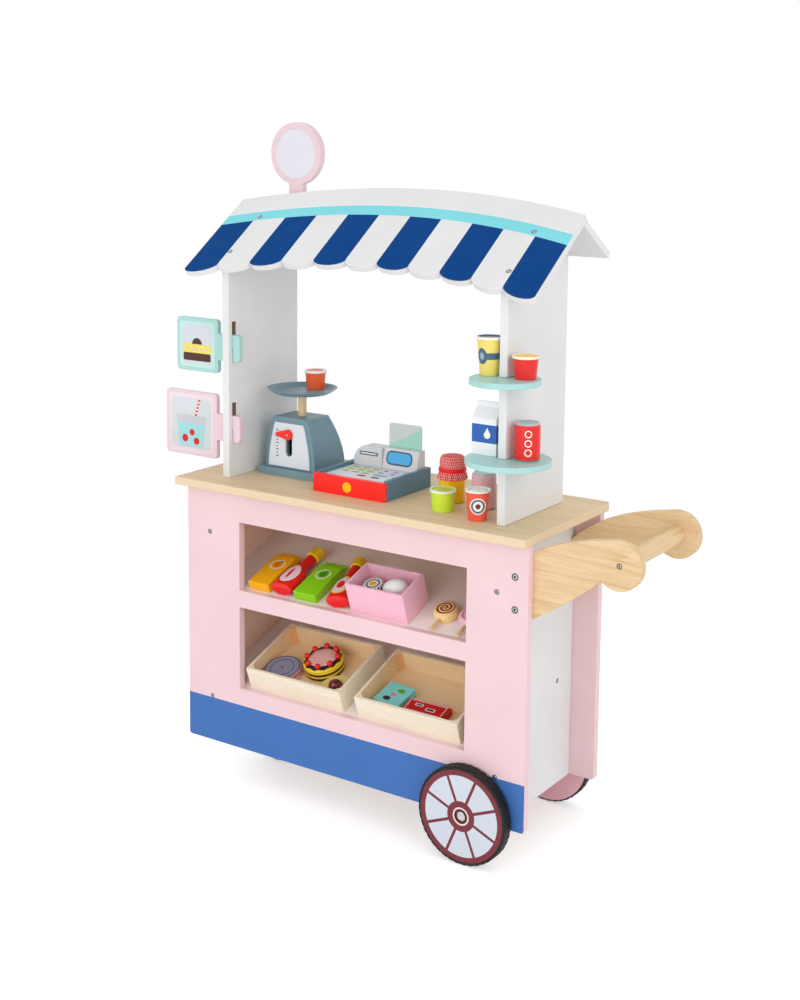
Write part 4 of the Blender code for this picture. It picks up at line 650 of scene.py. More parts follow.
# the second colour on this line is a painted shade for the inside of the trays
BLOCK_TAN, TRAY_PAINTED_SHADE = colour(236, 170, 104), colour(248, 204, 138)
TRAY_BOARD, TRAY_RIM = 4.5 * MM, 0.3 * MM  # the warm tone takes in the boards' inner faces by this rim
PAINTED_SHADE_SHARE, BLOCK_SHARE, EDGE_SHARE = 0.6, 0.8, 0.75  # how much of each tone covers the wood
SLANTED_FROM, SLANTED_TO = 0.35, 0.9  # how far sideways the corner blocks' faces look
SLOPE = math.radians(20)
up_shelf = Vector((0, math.cos(SLOPE), math.sin(SLOPE)))
off_shelf = Vector((0, -math.sin(SLOPE), math.cos(SLOPE)))


def edge_band(tree, point, wood_colour):
    """The counter's sawn edges are paler than its face."""
    normal = tree.nodes.new("ShaderNodeTexCoord").outputs["Normal"]
    facing_up = vectors(tree, "DOT_PRODUCT", normal, Z_AXIS)
    return mix_colours(tree, ramp(tree, facing_up, 0.6, 0.3, 0.0, EDGE_SHARE), wood_colour, COUNTER_EDGE)


def tray_look(node):
    left, right = reach(node, X_AXIS)
    front, back = reach(node, up_shelf)

    def over(tree, point, wood_colour):
        """A painted shade, warmer and deeper, between the four boards, and tan on the slanted faces of the
        corner blocks.
        """
        across = vectors(tree, "DOT_PRODUCT", point, X_AXIS)
        upward = vectors(tree, "DOT_PRODUCT", point, up_shelf)
        board = TRAY_BOARD - TRAY_RIM
        width = band(tree, across, left + board, right - board, 2 * CRISP)
        depth = band(tree, upward, front + board, back - board, 2 * CRISP)
        # painted shade between the four boards
        within = maths(tree, "MULTIPLY", maths(tree, "MULTIPLY", width, depth), PAINTED_SHADE_SHARE)
        made = mix_colours(tree, within, wood_colour, TRAY_PAINTED_SHADE)
        normal = tree.nodes.new("ShaderNodeTexCoord").outputs["Normal"]
        sideways = maths(tree, "ABSOLUTE", vectors(tree, "DOT_PRODUCT", normal, X_AXIS))
        blocks = maths(tree, "MULTIPLY", band(tree, sideways, SLANTED_FROM, SLANTED_TO, 0.03), BLOCK_SHARE)
        return mix_colours(tree, blocks, made, BLOCK_TAN)

    return over


counter_wood = wood("counter_wood", COUNTER_LIGHT, COUNTER_DARK, (2, 26, 26), 8.0, 0.5, over=edge_band)
pine = wood("pine", PINE_LIGHT, PINE_DARK, (3, 60, 34), 9.0, 0.75)
pine_rod = wood("pine_rod", PINE_LIGHT, PINE_DARK, (60, 3, 60), 6.0, 0.6)
dress(counter_wood, "countertop")
dress(pine, "handle_arm_front", "handle_arm_rear")
dress(pine_rod, "handle_bar")
for node in ("left_bin", "right_bin"):
    dress(wood(f"{node}_wood", BASS_LIGHT, BASS_DARK, (4, 30, 40), 7.0, 0.45, over=tray_look(node)), node)
soften(0.8 * MM, "countertop", "handle_arm_front", "handle_arm_rear")
soften(0.5 * MM, "left_bin", "right_bin")
print("bare wood dressed")

# %% [markdown]
# ## Wheels
# Each wheel is a wooden disc printed like a spoked wheel: a maroon rim, hub and eight spokes round pale
# panels, a cream ring about the sunk nut, and black out at the edge, where the tyre's lip laps over it. The
# print is on the outer face, and the inner face is pink. Distance from the axle gives rim, hub and ring.
# The spokes are narrow bands of equal width, so they come from the distance to the nearest spoke's middle
# line, which the angle gives.

# %% Print the wheels
RUBBER, WHEEL_PINK = colour(26, 25, 26), colour(248, 194, 202)
MAROON, WHEEL_PALE, CREAM = colour(122, 50, 60), colour(208, 215, 225), colour(236, 228, 220)
wheel_low, wheel_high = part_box("front_wheel")
TYRE_LIP = 1.5 * MM
WHEEL_EDGE = (wheel_high.z - wheel_low.z) / 2 - TYRE_LIP
WHEEL_FACE, WHEEL_INNER = -wheel_low.y, -wheel_high.y  # from the cart's middle to a wheel's two faces
AXLE = Vector(((wheel_low.x + wheel_high.x) / 2, 0, (wheel_low.z + wheel_high.z) / 2))
SPOKES = 8
SPOKE_WIDTH, HUB, RING, RING_WIDTH, RIM = 4.2 * MM, 21.5 * MM, 12.6 * MM, 3 * MM, 57 * MM
HALF_SPOKE = math.radians(180 / SPOKES)


def wheel_tone(outward):
    """The print of one wheel, whose outer face looks to the front for an outward of -1, to the rear for 1."""

    def tone(tree, point):
        parts = add_node(tree, "ShaderNodeSeparateXYZ", {0: vectors(tree, "SUBTRACT", point, AXLE)}).outputs
        flat = add_node(tree, "ShaderNodeCombineXYZ", {0: parts["X"], 1: parts["Z"]}).outputs[0]
        radius = vectors(tree, "LENGTH", flat)
        angle = maths(tree, "ARCTAN2", parts["Z"], parts["X"])
        turn = maths(tree, "FLOORED_MODULO", angle, 2 * HALF_SPOKE)
        off_line = maths(tree, "SINE", maths(tree, "SUBTRACT", turn, HALF_SPOKE))
        from_spoke = maths(tree, "ABSOLUTE", maths(tree, "MULTIPLY", radius, off_line))
        spoke = band(tree, from_spoke, -1.0, SPOKE_WIDTH / 2, INK_LINE / 2)
        no_spoke = maths(tree, "SUBTRACT", 1.0, spoke)
        panel = maths(tree, "MULTIPLY", band(tree, radius, HUB, RIM, INK_LINE), no_spoke)
        made = mix_colours(tree, panel, MAROON, WHEEL_PALE)
        made = mix_colours(tree, band(tree, radius, RING - RING_WIDTH, RING, INK_LINE), made, CREAM)
        made = mix_colours(tree, ramp(tree, radius, WHEEL_EDGE - INK_LINE, WHEEL_EDGE), made, RUBBER)
        side = maths(tree, "MULTIPLY", parts["Y"], outward)
        made = mix_colours(tree, maths(tree, "LESS_THAN", side, WHEEL_FACE - 0.5 * MM), made, MAROON)
        return mix_colours(tree, maths(tree, "LESS_THAN", side, WHEEL_INNER + 1 * MM), made, WHEEL_PINK)

    return tone


for name, outward in (("front_wheel", -1.0), ("rear_wheel", 1.0)):
    dress(paint(f"{name}_print", wheel_tone(outward), roughness=0.4, wear_and_highlight=0.15), name)
print("axle in mm:", [round(v / MM, 1) for v in AXLE])

# %% [markdown]
# ## Tyres
# The tyre is black rubber with a blocky tread. The solid tyre is a plain band, and a bump on it would leave
# its outline smooth, so a fuller tyre takes its place: rows of blocks round the wheel, the middle row half
# a step on, with grooves just under a millimetre deep between them.

# %% Build the tyres
LUGS, LUG_STEPS = 40, 4
GROOVE, SHOULDER, SHOULDER_WIDTH = 0.8 * MM, 0.9 * MM, 1.2 * MM
TYRE_THICKNESS = 2.2 * MM
MIDDLE_ROW, SIDE_ROW = 0.34, 0.42  # where the rows end, as shares of the tyre's half width


def rubber():
    made, tree, shader, point = blank("tyre_rubber")
    dust = ramp(tree, noise(tree, point, 70.0, 5.0), 0.45, 0.75)
    tree.links.new(mix_colours(tree, dust, RUBBER, colour(46, 44, 42)), shader.inputs["Base Color"])
    tree.links.new(maths(tree, "MULTIPLY_ADD", dust, 0.2, 0.55), shader.inputs["Roughness"])
    values = {"Height": noise(tree, point, 900.0, 2.0), "Distance": 0.1 * MM}
    tree.links.new(add_node(tree, "ShaderNodeBump", values).outputs[0], shader.inputs["Normal"])
    shader.inputs["Specular IOR Level"].default_value = 0.25
    return made


tyre_rubber = rubber()


def tyre(node, body):
    """Rings of points across the tread, each lifted on its blocks and lowered in its grooves."""
    low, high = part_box(node)
    middle = Vector((AXLE.x, (low.y + high.y) / 2, AXLE.z))
    half, outer = (high.y - low.y) / 2, (high.z - low.z) / 2
    inner = outer - TYRE_THICKNESS
    shoulder, side, crown = half - SHOULDER_WIDTH, SIDE_ROW * half, MIDDLE_ROW * half
    across = [(half, 0), (shoulder, 0), (side, 0), (crown, 1)]
    across += [(-crown, 1), (-side, 2), (-shoulder, 2), (-half, 2)]
    steps = LUGS * LUG_STEPS
    bm = bmesh.new()
    rings = []
    for i in range(steps):
        a = math.tau * i / steps
        out = Vector((math.cos(a), 0, math.sin(a)))
        ring = [bm.verts.new(middle + Y_AXIS * half + out * inner)]
        for y, row in across:
            phase = (i + (LUG_STEPS // 2 if row == 1 else 0)) % LUG_STEPS
            radius = outer - (GROOVE if phase == 0 else 0.0) - (SHOULDER if abs(y) == half else 0.0)
            ring.append(bm.verts.new(middle + Y_AXIS * y + out * radius))
        ring.append(bm.verts.new(middle - Y_AXIS * half + out * inner))
        rings.append(ring)
    for i in range(steps):
        ahead = rings[(i + 1) % steps]
        for j in range(len(ahead)):
            k = (j + 1) % len(ahead)
            bm.faces.new((rings[i][j], rings[i][k], ahead[k], ahead[j]))
    piece = place_piece(f"{node}_tread", bm, tyre_rubber, body, smooth=False)
    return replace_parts(piece, node)


tyres = [tyre(f"{side}_tyre", f"{side}_wheel") for side in ("front", "rear")]
print("faces in a tyre:", len(tyres[0].data.polygons))

# %% [markdown]
# ## Metal and screws
# The axle with its nuts and the caster's fork are zinc plated, and the boards are held by small plated
# screws with a sunk hexagon. Plated steel is bright but never even, so its roughness is brushed with fine
# noise. The screws are turned from one profile and set where the real ones are. The shade in each
# countersunk hole and in each sunk hexagon is painted: thin dark plates on the face.

# %% Make the metal and set the screws
def plated(name, tone, roughness):
    """Bright metal with fine brushing in its tone and its roughness."""
    made, tree, shader, point = blank(name)
    brushed = noise(tree, point, 240.0, 4.0)
    tree.links.new(mix_colours(tree, brushed, tone, colour(165, 166, 170)), shader.inputs["Base Color"])
    tree.links.new(maths(tree, "MULTIPLY_ADD", brushed, 0.25, roughness), shader.inputs["Roughness"])
    shader.inputs["Metallic"].default_value = 1.0
    return made


zinc = plated("zinc", colour(222, 223, 226), 0.2)
dress(zinc, "axle", "caster_fork", "caster_plate")
dress(paint("caster_grey", colour(88, 88, 92), roughness=0.5, wear_and_highlight=0.0), "caster_wheel")
# painted shade: the near-black of the countersunk holes and the hexagon sockets
painted_recess_shade = paint("screw_painted_recess_shade", colour(44, 42, 42), roughness=0.7, coat=0.0, wear_and_highlight=0.0, gloss=0.1)
SCREW = [(0, 0.3), (1.5, 0.3), (1.7, 0.8), (2.3, 0.8), (2.7, 0.3), (2.7, -0.5)]
HOLE_RADIUS, SOCKET_RADIUS = 3.7 * MM, 1.3 * MM
FRONT_SCREWS = [(-292.8, 386.5, 1.0), (-289.6, 129.3, 1.0), (207.2, 384.3, 1.0), (209.2, 127.5, 1.0)]
FRONT_SCREWS += [(234.4, 409.6, 1.35), (235.0, 365.1, 1.35)]
ARM_SCREW, SIDE_SCREW = (377.8, 446.0), (53.5, 213.6)
AWNING_SCREWS = [(-237.0, 29), (236.6, 29), (-238.8, 112), (237.4, 112)]  # mm aside, and mm down the slope


def screw(name, place, across, along, size=1.0):
    """A plated head with a sunk hexagon, in a countersunk hole. The dark ring of the hole and the dark
    hexagon are painted shade.
    """
    hole = oval(HOLE_RADIUS * size, HOLE_RADIUS * size)
    plate(f"{name}_hole", hole, place, across, along, painted_recess_shade, "cart", 0.1 * MM)
    head = [(r * size * MM, h * MM) for r, h in SCREW]
    lathe(name, head, place, across, along, zinc, "cart", 24)
    socket = oval(SOCKET_RADIUS * size, SOCKET_RADIUS * size, points=6)
    plate(f"{name}_socket", socket, place, across, along, painted_recess_shade, "cart", 0.4 * MM)


for i, (x, z, size) in enumerate(FRONT_SCREWS):
    screw(f"panel_screw_{i + 1}", Vector((x * MM, front_low.y, z * MM)), X_AXIS, Z_AXIS, size)
arm_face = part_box("handle_arm_front")[0].y
screw("arm_screw", Vector((ARM_SCREW[0] * MM, arm_face, ARM_SCREW[1] * MM)), X_AXIS, Z_AXIS)
side_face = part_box("right_side_panel")[1].x
screw("side_screw", Vector((side_face, SIDE_SCREW[0] * MM, SIDE_SCREW[1] * MM)), Y_AXIS, Z_AXIS)
for i, (aside, down) in enumerate(AWNING_SCREWS):
    place = ridge + X_AXIS * aside * MM - up_slope * down * MM + off_slope * ROOF_BOARD
    screw(f"awning_screw_{i + 1}", place, X_AXIS, up_slope)
print("screws:", len(FRONT_SCREWS) + len(AWNING_SCREWS) + 2)

# %% [markdown]
# ## Sign and round shelves
# The round sign on the roof is rose with a pale sunk face, which is left blank. The two round shelves on
# the right post are mint, a little glossier than the boards because they were dipped.

# %% Finish the sign and the round shelves
ROSE, SIGN_PALE, MINT = colour(231, 204, 210), colour(226, 222, 230), colour(172, 217, 213)
sign_low, sign_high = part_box("sign_board")
sign_radius = (sign_high.x - sign_low.x) / 2
sign_middle = Vector(((sign_low.x + sign_high.x) / 2, sign_low.y, sign_high.z - sign_radius))
SUNK_FACE, PRINT_REACH = 38.5 * MM, 3 * MM  # the sunk face's radius, and how far back its print reaches


def sign_tone(tree, point):
    behind = sign_middle + Y_AXIS * PRINT_REACH
    return printed(tree, ROSE, point, behind, X_AXIS * SUNK_FACE, Z_AXIS * SUNK_FACE, -1.0, 1.0, SIGN_PALE)


dress(paint("sign_paint", sign_tone, roughness=0.4), "sign_board")
mint_paint = paint("mint_paint", MINT, roughness=0.38, coat=0.15)
dress(mint_paint, "upper_round_shelf", "lower_round_shelf")
soften(0.8 * MM, "upper_round_shelf", "lower_round_shelf")
print("sign middle in mm:", [round(v / MM, 1) for v in sign_middle])

# %% [markdown]
# ## Menu boards
# Two boards hang from the left post by hooks, one mint and one rose, each with a pale panel and a printed
# treat. The frame fades towards the panel, so a paler plate lies between the two. The treats here are this
# lesson's own: a layered slice under a dome, and a tumbler with a striped straw. They are thin plates,
# because the boards are flat and a plate gives a crisp edge from any side.

# %% Hang the mint board
MENU_PALE, BROWN, LEMON = colour(211, 217, 222), colour(84, 56, 50), colour(235, 222, 110)
AQUA, RED, LILAC = colour(165, 222, 222), colour(222, 40, 46), colour(226, 190, 206)
OFF_WHITE = colour(244, 242, 236)
menu_paints = {
    "mint_menu_board": paint("mint_board_paint", colour(172, 216, 210), roughness=0.38, coat=0.15),
    "rose_menu_board": paint("rose_board_paint", colour(235, 208, 216), roughness=0.38, coat=0.15),
}
FRAME_PALE = {"mint_menu_board": colour(196, 227, 224), "rose_menu_board": colour(235, 219, 225)}
FRAME_MARGIN, PANEL_MARGIN, PANEL_CORNER = 12 * MM, 24 * MM, 6 * MM
DOTS, DOT_STEP, DOT_RADIUS, CREAM_LAYER = 5, 9.5 * MM, 2 * MM, -7 * MM
inks = {}


def ink(name, tone):
    """A printing ink: flatter and evener than the paint of a board."""
    if name not in inks:
        finish = dict(roughness=0.5, coat=0.0, clouds=0.05, wear_and_highlight=0.0, depth=0.01 * MM)
        inks[name] = paint(f"{name}_ink", tone, **finish)
    return inks[name]


def menu(node, plate_width, plate_middle_z):
    """Lays the frame's paler part and the panel on it, and gives back the middle of the panel's face."""
    low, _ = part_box(node)
    dress(menu_paints[node], node)
    soften(1.2 * MM, node)
    middle = Vector((low.x + plate_width / 2, low.y, plate_middle_z))
    layers = (("inner_frame", FRAME_MARGIN, FRAME_PALE[node]), ("panel", PANEL_MARGIN, MENU_PALE))
    for part, margin, tone in layers:
        name, size = f"{node}_{part}", plate_width - margin
        plate(name, tablet(size, size, PANEL_CORNER), middle, X_AXIS, Z_AXIS, ink(name, tone), node)
        middle = middle - Y_AXIS * PRINT_THICKNESS
    return middle


mint_face = menu("mint_menu_board", 82 * MM, 662.3 * MM)
treats = [
    ("dome", [(x, max(z, -1 * MM)) for x, z in oval(10 * MM, 10 * MM)], BROWN),
    ("cream_layer", tablet(56 * MM, 15 * MM, 2 * MM, (0, CREAM_LAYER)), LEMON),
    ("base_layer", tablet(54 * MM, 12 * MM, 2 * MM, (0, -19 * MM)), BROWN),
]
for i, (name, outline, tone) in enumerate(treats):
    lifted = mint_face - Y_AXIS * 0.1 * MM * i
    plate(f"mint_{name}", outline, lifted, X_AXIS, Z_AXIS, ink(name, tone), "mint_menu_board")
lifted = mint_face - Y_AXIS * 0.3 * MM
for i in range(DOTS):
    dot = oval(DOT_RADIUS, DOT_RADIUS, ((i - DOTS // 2) * DOT_STEP, CREAM_LAYER), 16)
    plate(f"mint_dot_{i + 1}", dot, lifted, X_AXIS, Z_AXIS, ink("lilac", LILAC), "mint_menu_board")
print("dots on the slice:", DOTS)

# %% [markdown]
# ## The second menu board
# The tumbler, its drink, the straw and three berries are drawn in millimetres about the middle of the
# panel. The straw leans, and its red stripes are shorter pieces of the same leaning outline, so one
# function draws both.

# %% Hang the rose board
rose_face = menu("rose_menu_board", 102 * MM, 539.3 * MM)
tumbler = [(-30, 12), (30, 12), (23, -37), (-23, -37)]
drink = [(-28.3, 0), (28.3, 0), (21.7, -35), (-21.7, -35)]
STRAW_LEFT, STRAW_RIGHT, STRAW_LEAN, STRAW_FOOT, STRAW_LENGTH = 8, 11.5, 8.5, 12, 28
STRAW_STRIPES, STRIPE_FROM, STRIPE_TO = 5, 0.02, 0.13  # how many, and where each lies, in the straw's length


def straw_part(start, end):
    """The leaning straw's outline between two shares of its length."""
    left = [(STRAW_LEFT + STRAW_LEAN * share, STRAW_FOOT + STRAW_LENGTH * share) for share in (start, end)]
    right = [(STRAW_RIGHT + STRAW_LEAN * share, STRAW_FOOT + STRAW_LENGTH * share) for share in (start, end)]
    return [left[0], right[0], right[1], left[1]]


treats = [
    ("glass", tumbler, colour(200, 203, 208)),
    ("drink", drink, AQUA),
    ("straw", straw_part(0, 1), OFF_WHITE),
    ("left_berry", oval(6, 6, (-12, -24)), RED),
    ("middle_berry", oval(5, 5, (2, -14)), RED),
    ("right_berry", oval(5.5, 5.5, (11, -27)), RED),
]
for i, (name, outline, tone) in enumerate(treats):
    lifted = rose_face - Y_AXIS * 0.08 * MM * i
    plate(f"rose_{name}", millimetres(outline), lifted, X_AXIS, Z_AXIS, ink(name, tone), "rose_menu_board")
lifted = rose_face - Y_AXIS * 0.5 * MM
for i in range(STRAW_STRIPES):
    first = i / STRAW_STRIPES
    stripe = millimetres(straw_part(first + STRIPE_FROM, first + STRIPE_TO))
    plate(f"straw_stripe_{i + 1}", stripe, lifted, X_AXIS, Z_AXIS, ink("stripe_red", RED), "rose_menu_board")
print("menu boards hung, inks:", len(inks))

# %% [markdown]
# ## The kitchen scale
# A slate body with bulging sides, a pale dial plate with plain ticks, a red pointer and a dished tray on a
# pine dowel. The dowel, its arm and the pointer are one solid, so the material tells them apart by place:
# what stands in front of the dial is red.

# %% Finish the scale
SLATE, DIAL_PALE, BRIGHT_RED = colour(118, 149, 162), colour(222, 229, 238), colour(248, 36, 26)
dial_low, dial_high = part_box("scale_dial")
TICKS, TICK_START, TICK_STEP, TICK_ASIDE = 9, 16, 5, -22  # mm up from the dial's foot, and mm aside
LONG_TICK, SHORT_TICK, TICK_HEIGHT = 5, 2.6, 1.2 * MM
PIN_HEIGHT = 530.6 * MM


def pointer_tone(tree, point, wood_colour):
    y = add_node(tree, "ShaderNodeSeparateXYZ", {0: point}).outputs["Y"]
    return mix_colours(tree, maths(tree, "LESS_THAN", y, dial_low.y - 0.3 * MM), wood_colour, BRIGHT_RED)


slate_paint = paint("slate_paint", SLATE, roughness=0.4, coat=0.12, clouds=0.05)
dress(slate_paint, "scale_body", "scale_tray")
dress(paint("dial_paint", DIAL_PALE, wear_and_highlight=0.1), "scale_dial")
dress(wood("scale_dowel", PINE_LIGHT, PINE_DARK, (60, 60, 3), 6.0, 0.5, over=pointer_tone), "scale_plunger")
soften(0.8 * MM, "scale_dial")
middle_x = (dial_low.x + dial_high.x) / 2
tick_ink = ink("tick", colour(28, 32, 38))
for i in range(TICKS):
    length = LONG_TICK if i % 2 == 0 else SHORT_TICK
    outline = tablet(length * MM, TICK_HEIGHT, TICK_HEIGHT / 4, (TICK_ASIDE * MM, 0), 2)
    origin = Vector((middle_x, dial_low.y, dial_low.z + (TICK_START + TICK_STEP * i) * MM))
    plate(f"dial_tick_{i + 1}", outline, origin, X_AXIS, Z_AXIS, tick_ink, "cart", 0.12 * MM)
pointer_low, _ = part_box("scale_plunger")
pin = Vector((middle_x, pointer_low.y, PIN_HEIGHT))
pin_head = millimetres([(0, 0.9), (1.2, 0.7), (1.8, -0.3)])
lathe("pointer_pin", pin_head, pin, X_AXIS, Z_AXIS, zinc, "scale_plunger", 20)
print("dial width in mm:", round((dial_high.x - dial_low.x) / MM, 1))

# %% [markdown]
# ## The cash register
# A slate tray with a red drawer in front, a pale keypad, a printer and a screen that leans back. A loose
# card in two colours stands behind. The drawer's yellow disc rides on the drawer, because it has to come
# out with it.

# %% Finish the register
REGISTER_SLATE, GREY, KEYPAD_GREY = colour(92, 126, 146), colour(217, 218, 221), colour(228, 230, 237)
SCREEN_BLUE, YELLOW = colour(88, 178, 232), colour(250, 190, 22)
dress(paint("register_slate", REGISTER_SLATE, roughness=0.4, coat=0.12, clouds=0.05), "register_body")
grey_paint = paint("pale_grey_paint", GREY, wear_and_highlight=0.15)
dress(grey_paint, "register_printer", "register_screen")
dress(paint("keypad_paint", KEYPAD_GREY, wear_and_highlight=0.1), "register_keypad")
soften(0.8 * MM, "register_body", "register_printer", "register_screen")
dress(paint("drawer_red", BRIGHT_RED, roughness=0.35, coat=0.2), "register_drawer")
drawer_low, drawer_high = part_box("register_drawer")
disc_middle = Vector(((drawer_low.x + drawer_high.x) / 2 - 2.6 * MM, drawer_low.y, drawer_low.z + 13 * MM))
disc = oval(7.5 * MM, 7.5 * MM)
plate("drawer_disc", disc, disc_middle, X_AXIS, Z_AXIS, ink("yellow", YELLOW), "register_drawer")
print("drawer width in mm:", round((drawer_high.x - drawer_low.x) / MM, 1))

# %% [markdown]
# ## The register's keys
# The keys are printed on the real toy. They are thin plates here, left without figures. A list of column,
# row, width and kind is easier to read and to change than nineteen plates written out, and each kind has
# one ink.

# %% Lay out the keys
keypad_low, keypad_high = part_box("register_keypad")
KEY_COLOURS = {
    "green": (178, 192, 70),
    "red": (176, 44, 66),
    "teal": (112, 196, 172),
    "violet": (178, 160, 190),
    "dark": (58, 60, 70),
}
KEYS = [(column, row, 13, "green") for row in range(3) for column in range(3)]
KEYS += [(3.0, 0, 5, "dark"), (4.0, 0, 9, "violet"), (4.9, 0, 7, "violet")]
KEYS += [(3.0, 1, 9, "violet"), (4.2, 1, 9, "violet"), (3.5, 2, 24, "teal"), (5.0, 2, 8, "violet")]
KEYS += [(2.2, 3, 14, "red"), (3.6, 3, 15, "red"), (5.0, 3, 9, "teal")]
FIRST_KEY, KEY_STEP, KEY_HEIGHT = (14.5, 34), (17.5, 14.5), 7.5  # mm from the keypad's rear left corner
for i, (column, row, width, kind) in enumerate(KEYS):
    x = keypad_low.x + (FIRST_KEY[0] + KEY_STEP[0] * column) * MM
    y = keypad_high.y - (FIRST_KEY[1] + KEY_STEP[1] * row) * MM
    height = min(KEY_HEIGHT, width) * MM
    spot = tablet(width * MM, height, 0.45 * height)
    tone = ink(f"key_{kind}", colour(*KEY_COLOURS[kind]))
    plate(f"key_{i + 1}", spot, Vector((x, y, keypad_high.z)), X_AXIS, Y_AXIS, tone, "cart", 0.2 * MM)
print("keys:", len(KEYS))

# %% [markdown]
# ## Screen, printer and card
# The screen's face leans back, so its two plates are laid along the leaning direction. The printer's slot
# is a dark frame round a strip of white paper. The card's two colours meet at a slanting line, which is a
# pattern in its paint.

# %% Finish the screen, the printer and the card
screen_low, screen_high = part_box("register_screen")
SCREEN_LEAN, SCREEN_MIDDLE, SECOND_LAYER = 7 * MM, 17.5 * MM, 0.12 * MM
slate_ink, screen_ink = ink("slate", colour(66, 96, 112)), ink("screen", SCREEN_BLUE)
lean = SCREEN_LEAN / (screen_high.z - screen_low.z)
up_screen = Vector((0, lean, 1)).normalized()
screen_face = Vector(((screen_low.x + screen_high.x) / 2 - 2 * MM, screen_low.y, screen_low.z))
screen_face += Vector((0, lean, 1)) * SCREEN_MIDDLE
frame_outline, glass_outline = tablet(46 * MM, 21 * MM, 8.5 * MM), tablet(41.5 * MM, 16.5 * MM, 6.5 * MM)
plate("screen_frame", frame_outline, screen_face, X_AXIS, up_screen, slate_ink, "cart")
screen_face = screen_face + X_AXIS.cross(up_screen) * SECOND_LAYER
plate("screen_glass", glass_outline, screen_face, X_AXIS, up_screen, screen_ink, "cart")
printer_low, printer_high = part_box("register_printer")
slot_middle = Vector((printer_low.x + 28 * MM, printer_low.y, printer_high.z - 11.5 * MM))
plate("paper_slot_frame", tablet(33 * MM, 5.4 * MM, 1.2 * MM), slot_middle, X_AXIS, Z_AXIS, slate_ink, "cart")
slot_middle = slot_middle - Y_AXIS * SECOND_LAYER
paper_ink = ink("paper", colour(244, 244, 245))
plate("paper_slot", tablet(29 * MM, 2 * MM, 0.6 * MM), slot_middle, X_AXIS, Z_AXIS, paper_ink, "cart")

card_low, card_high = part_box("member_card")
card_middle = (card_low + card_high) / 2
CARD_GREY, CARD_MINT = colour(203, 212, 210), colour(164, 216, 200)
CARD_DOWN, CARD_LINE = Vector((0.5, 0, -1)), -4 * MM


def card_tone(tree, point):
    """Grey above and mint below a slanting line."""
    offset = vectors(tree, "SUBTRACT", point, card_middle)
    down = vectors(tree, "DOT_PRODUCT", offset, CARD_DOWN)
    return mix_colours(tree, ramp(tree, down, CARD_LINE, CARD_LINE + 1 * MM), CARD_GREY, CARD_MINT)


dress(paint("card_print", card_tone, roughness=0.3, coat=0.2, wear_and_highlight=0.0), "member_card")
print("screen leans by degrees:", round(math.degrees(math.atan(lean)), 1))

# %% [markdown]
# ## Turned toys on the counter and shelves
# Cups and cans are turned from beech and dipped in colour, with a rim, a lid and sometimes a label in a
# second colour. Their colours change with height and, on top, with the distance from the middle. One
# pattern maker takes bands from the foot up, badges for the side and a lid, and all seven toys use it.

# %% A pattern for turned toys
LID_SINK = 2.2 * MM  # how far below the rim a lid's print reaches
LID_DOTS, DOTS_FROM, DOTS_TO = 14, 11.4 * MM, 13.4 * MM


def turned_tone(node, body_colour, bands=(), lid=None, lid_radius=0.0, lid_dots=None, badges=()):
    """Bands from the foot up, badges on the side, and a lid or a ring of dots on top, in millimetres.

    A badge gives its ring's two shares, half its width and height, its height, its azimuth and its colour.
    """
    low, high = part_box(node)
    middle = (low + high) / 2

    def tone(tree, point):
        offset = vectors(tree, "SUBTRACT", point, Vector((middle.x, middle.y, low.z)))
        z = add_node(tree, "ShaderNodeSeparateXYZ", {0: offset}).outputs["Z"]
        made = body_colour
        for start, end, band_colour in bands:
            made = mix_colours(tree, band(tree, z, start * MM, end * MM, 0.15 * MM), made, band_colour)
        for inner, outer, half_width, half_height, height, azimuth, badge in badges:
            turned = math.radians(azimuth)
            across = Vector((math.cos(turned), math.sin(turned), 0)) * half_width * MM
            centre = Vector((middle.x, middle.y, low.z + height * MM))
            made = printed(tree, made, point, centre, across, Z_AXIS * half_height * MM, inner, outer, badge)
        if lid:
            top = Vector((middle.x, middle.y, high.z - LID_SINK))
            wide, deep = X_AXIS * lid_radius * MM, Y_AXIS * lid_radius * MM
            made = printed(tree, made, point, top, wide, deep, -1.0, 1.0, lid)
        if lid_dots:
            flat = vectors(tree, "MULTIPLY", offset, Vector((1, 1, 0)))
            parts = add_node(tree, "ShaderNodeSeparateXYZ", {0: flat}).outputs
            angle = maths(tree, "ARCTAN2", parts["Y"], parts["X"])
            turn = maths(tree, "FLOORED_MODULO", angle, math.tau / LID_DOTS)
            ring = band(tree, vectors(tree, "LENGTH", flat), DOTS_FROM, DOTS_TO, 2 * CRISP)
            on_top = maths(tree, "GREATER_THAN", z, high.z - low.z - LID_SINK)
            dots = maths(tree, "MULTIPLY", ring, band(tree, turn, 0.1, 0.32, 0.03))
            made = mix_colours(tree, maths(tree, "MULTIPLY", dots, on_top), made, lid_dots)
        return made

    return tone


print("dots on a lid:", LID_DOTS)

# %% [markdown]
# ## Cups and cans
# Each toy is one entry of numbers: its colour, its bands, its lid and its badges. A badge is printed flat
# through the toy's side, so its place is an angle and a height. Later badges lie over earlier ones.

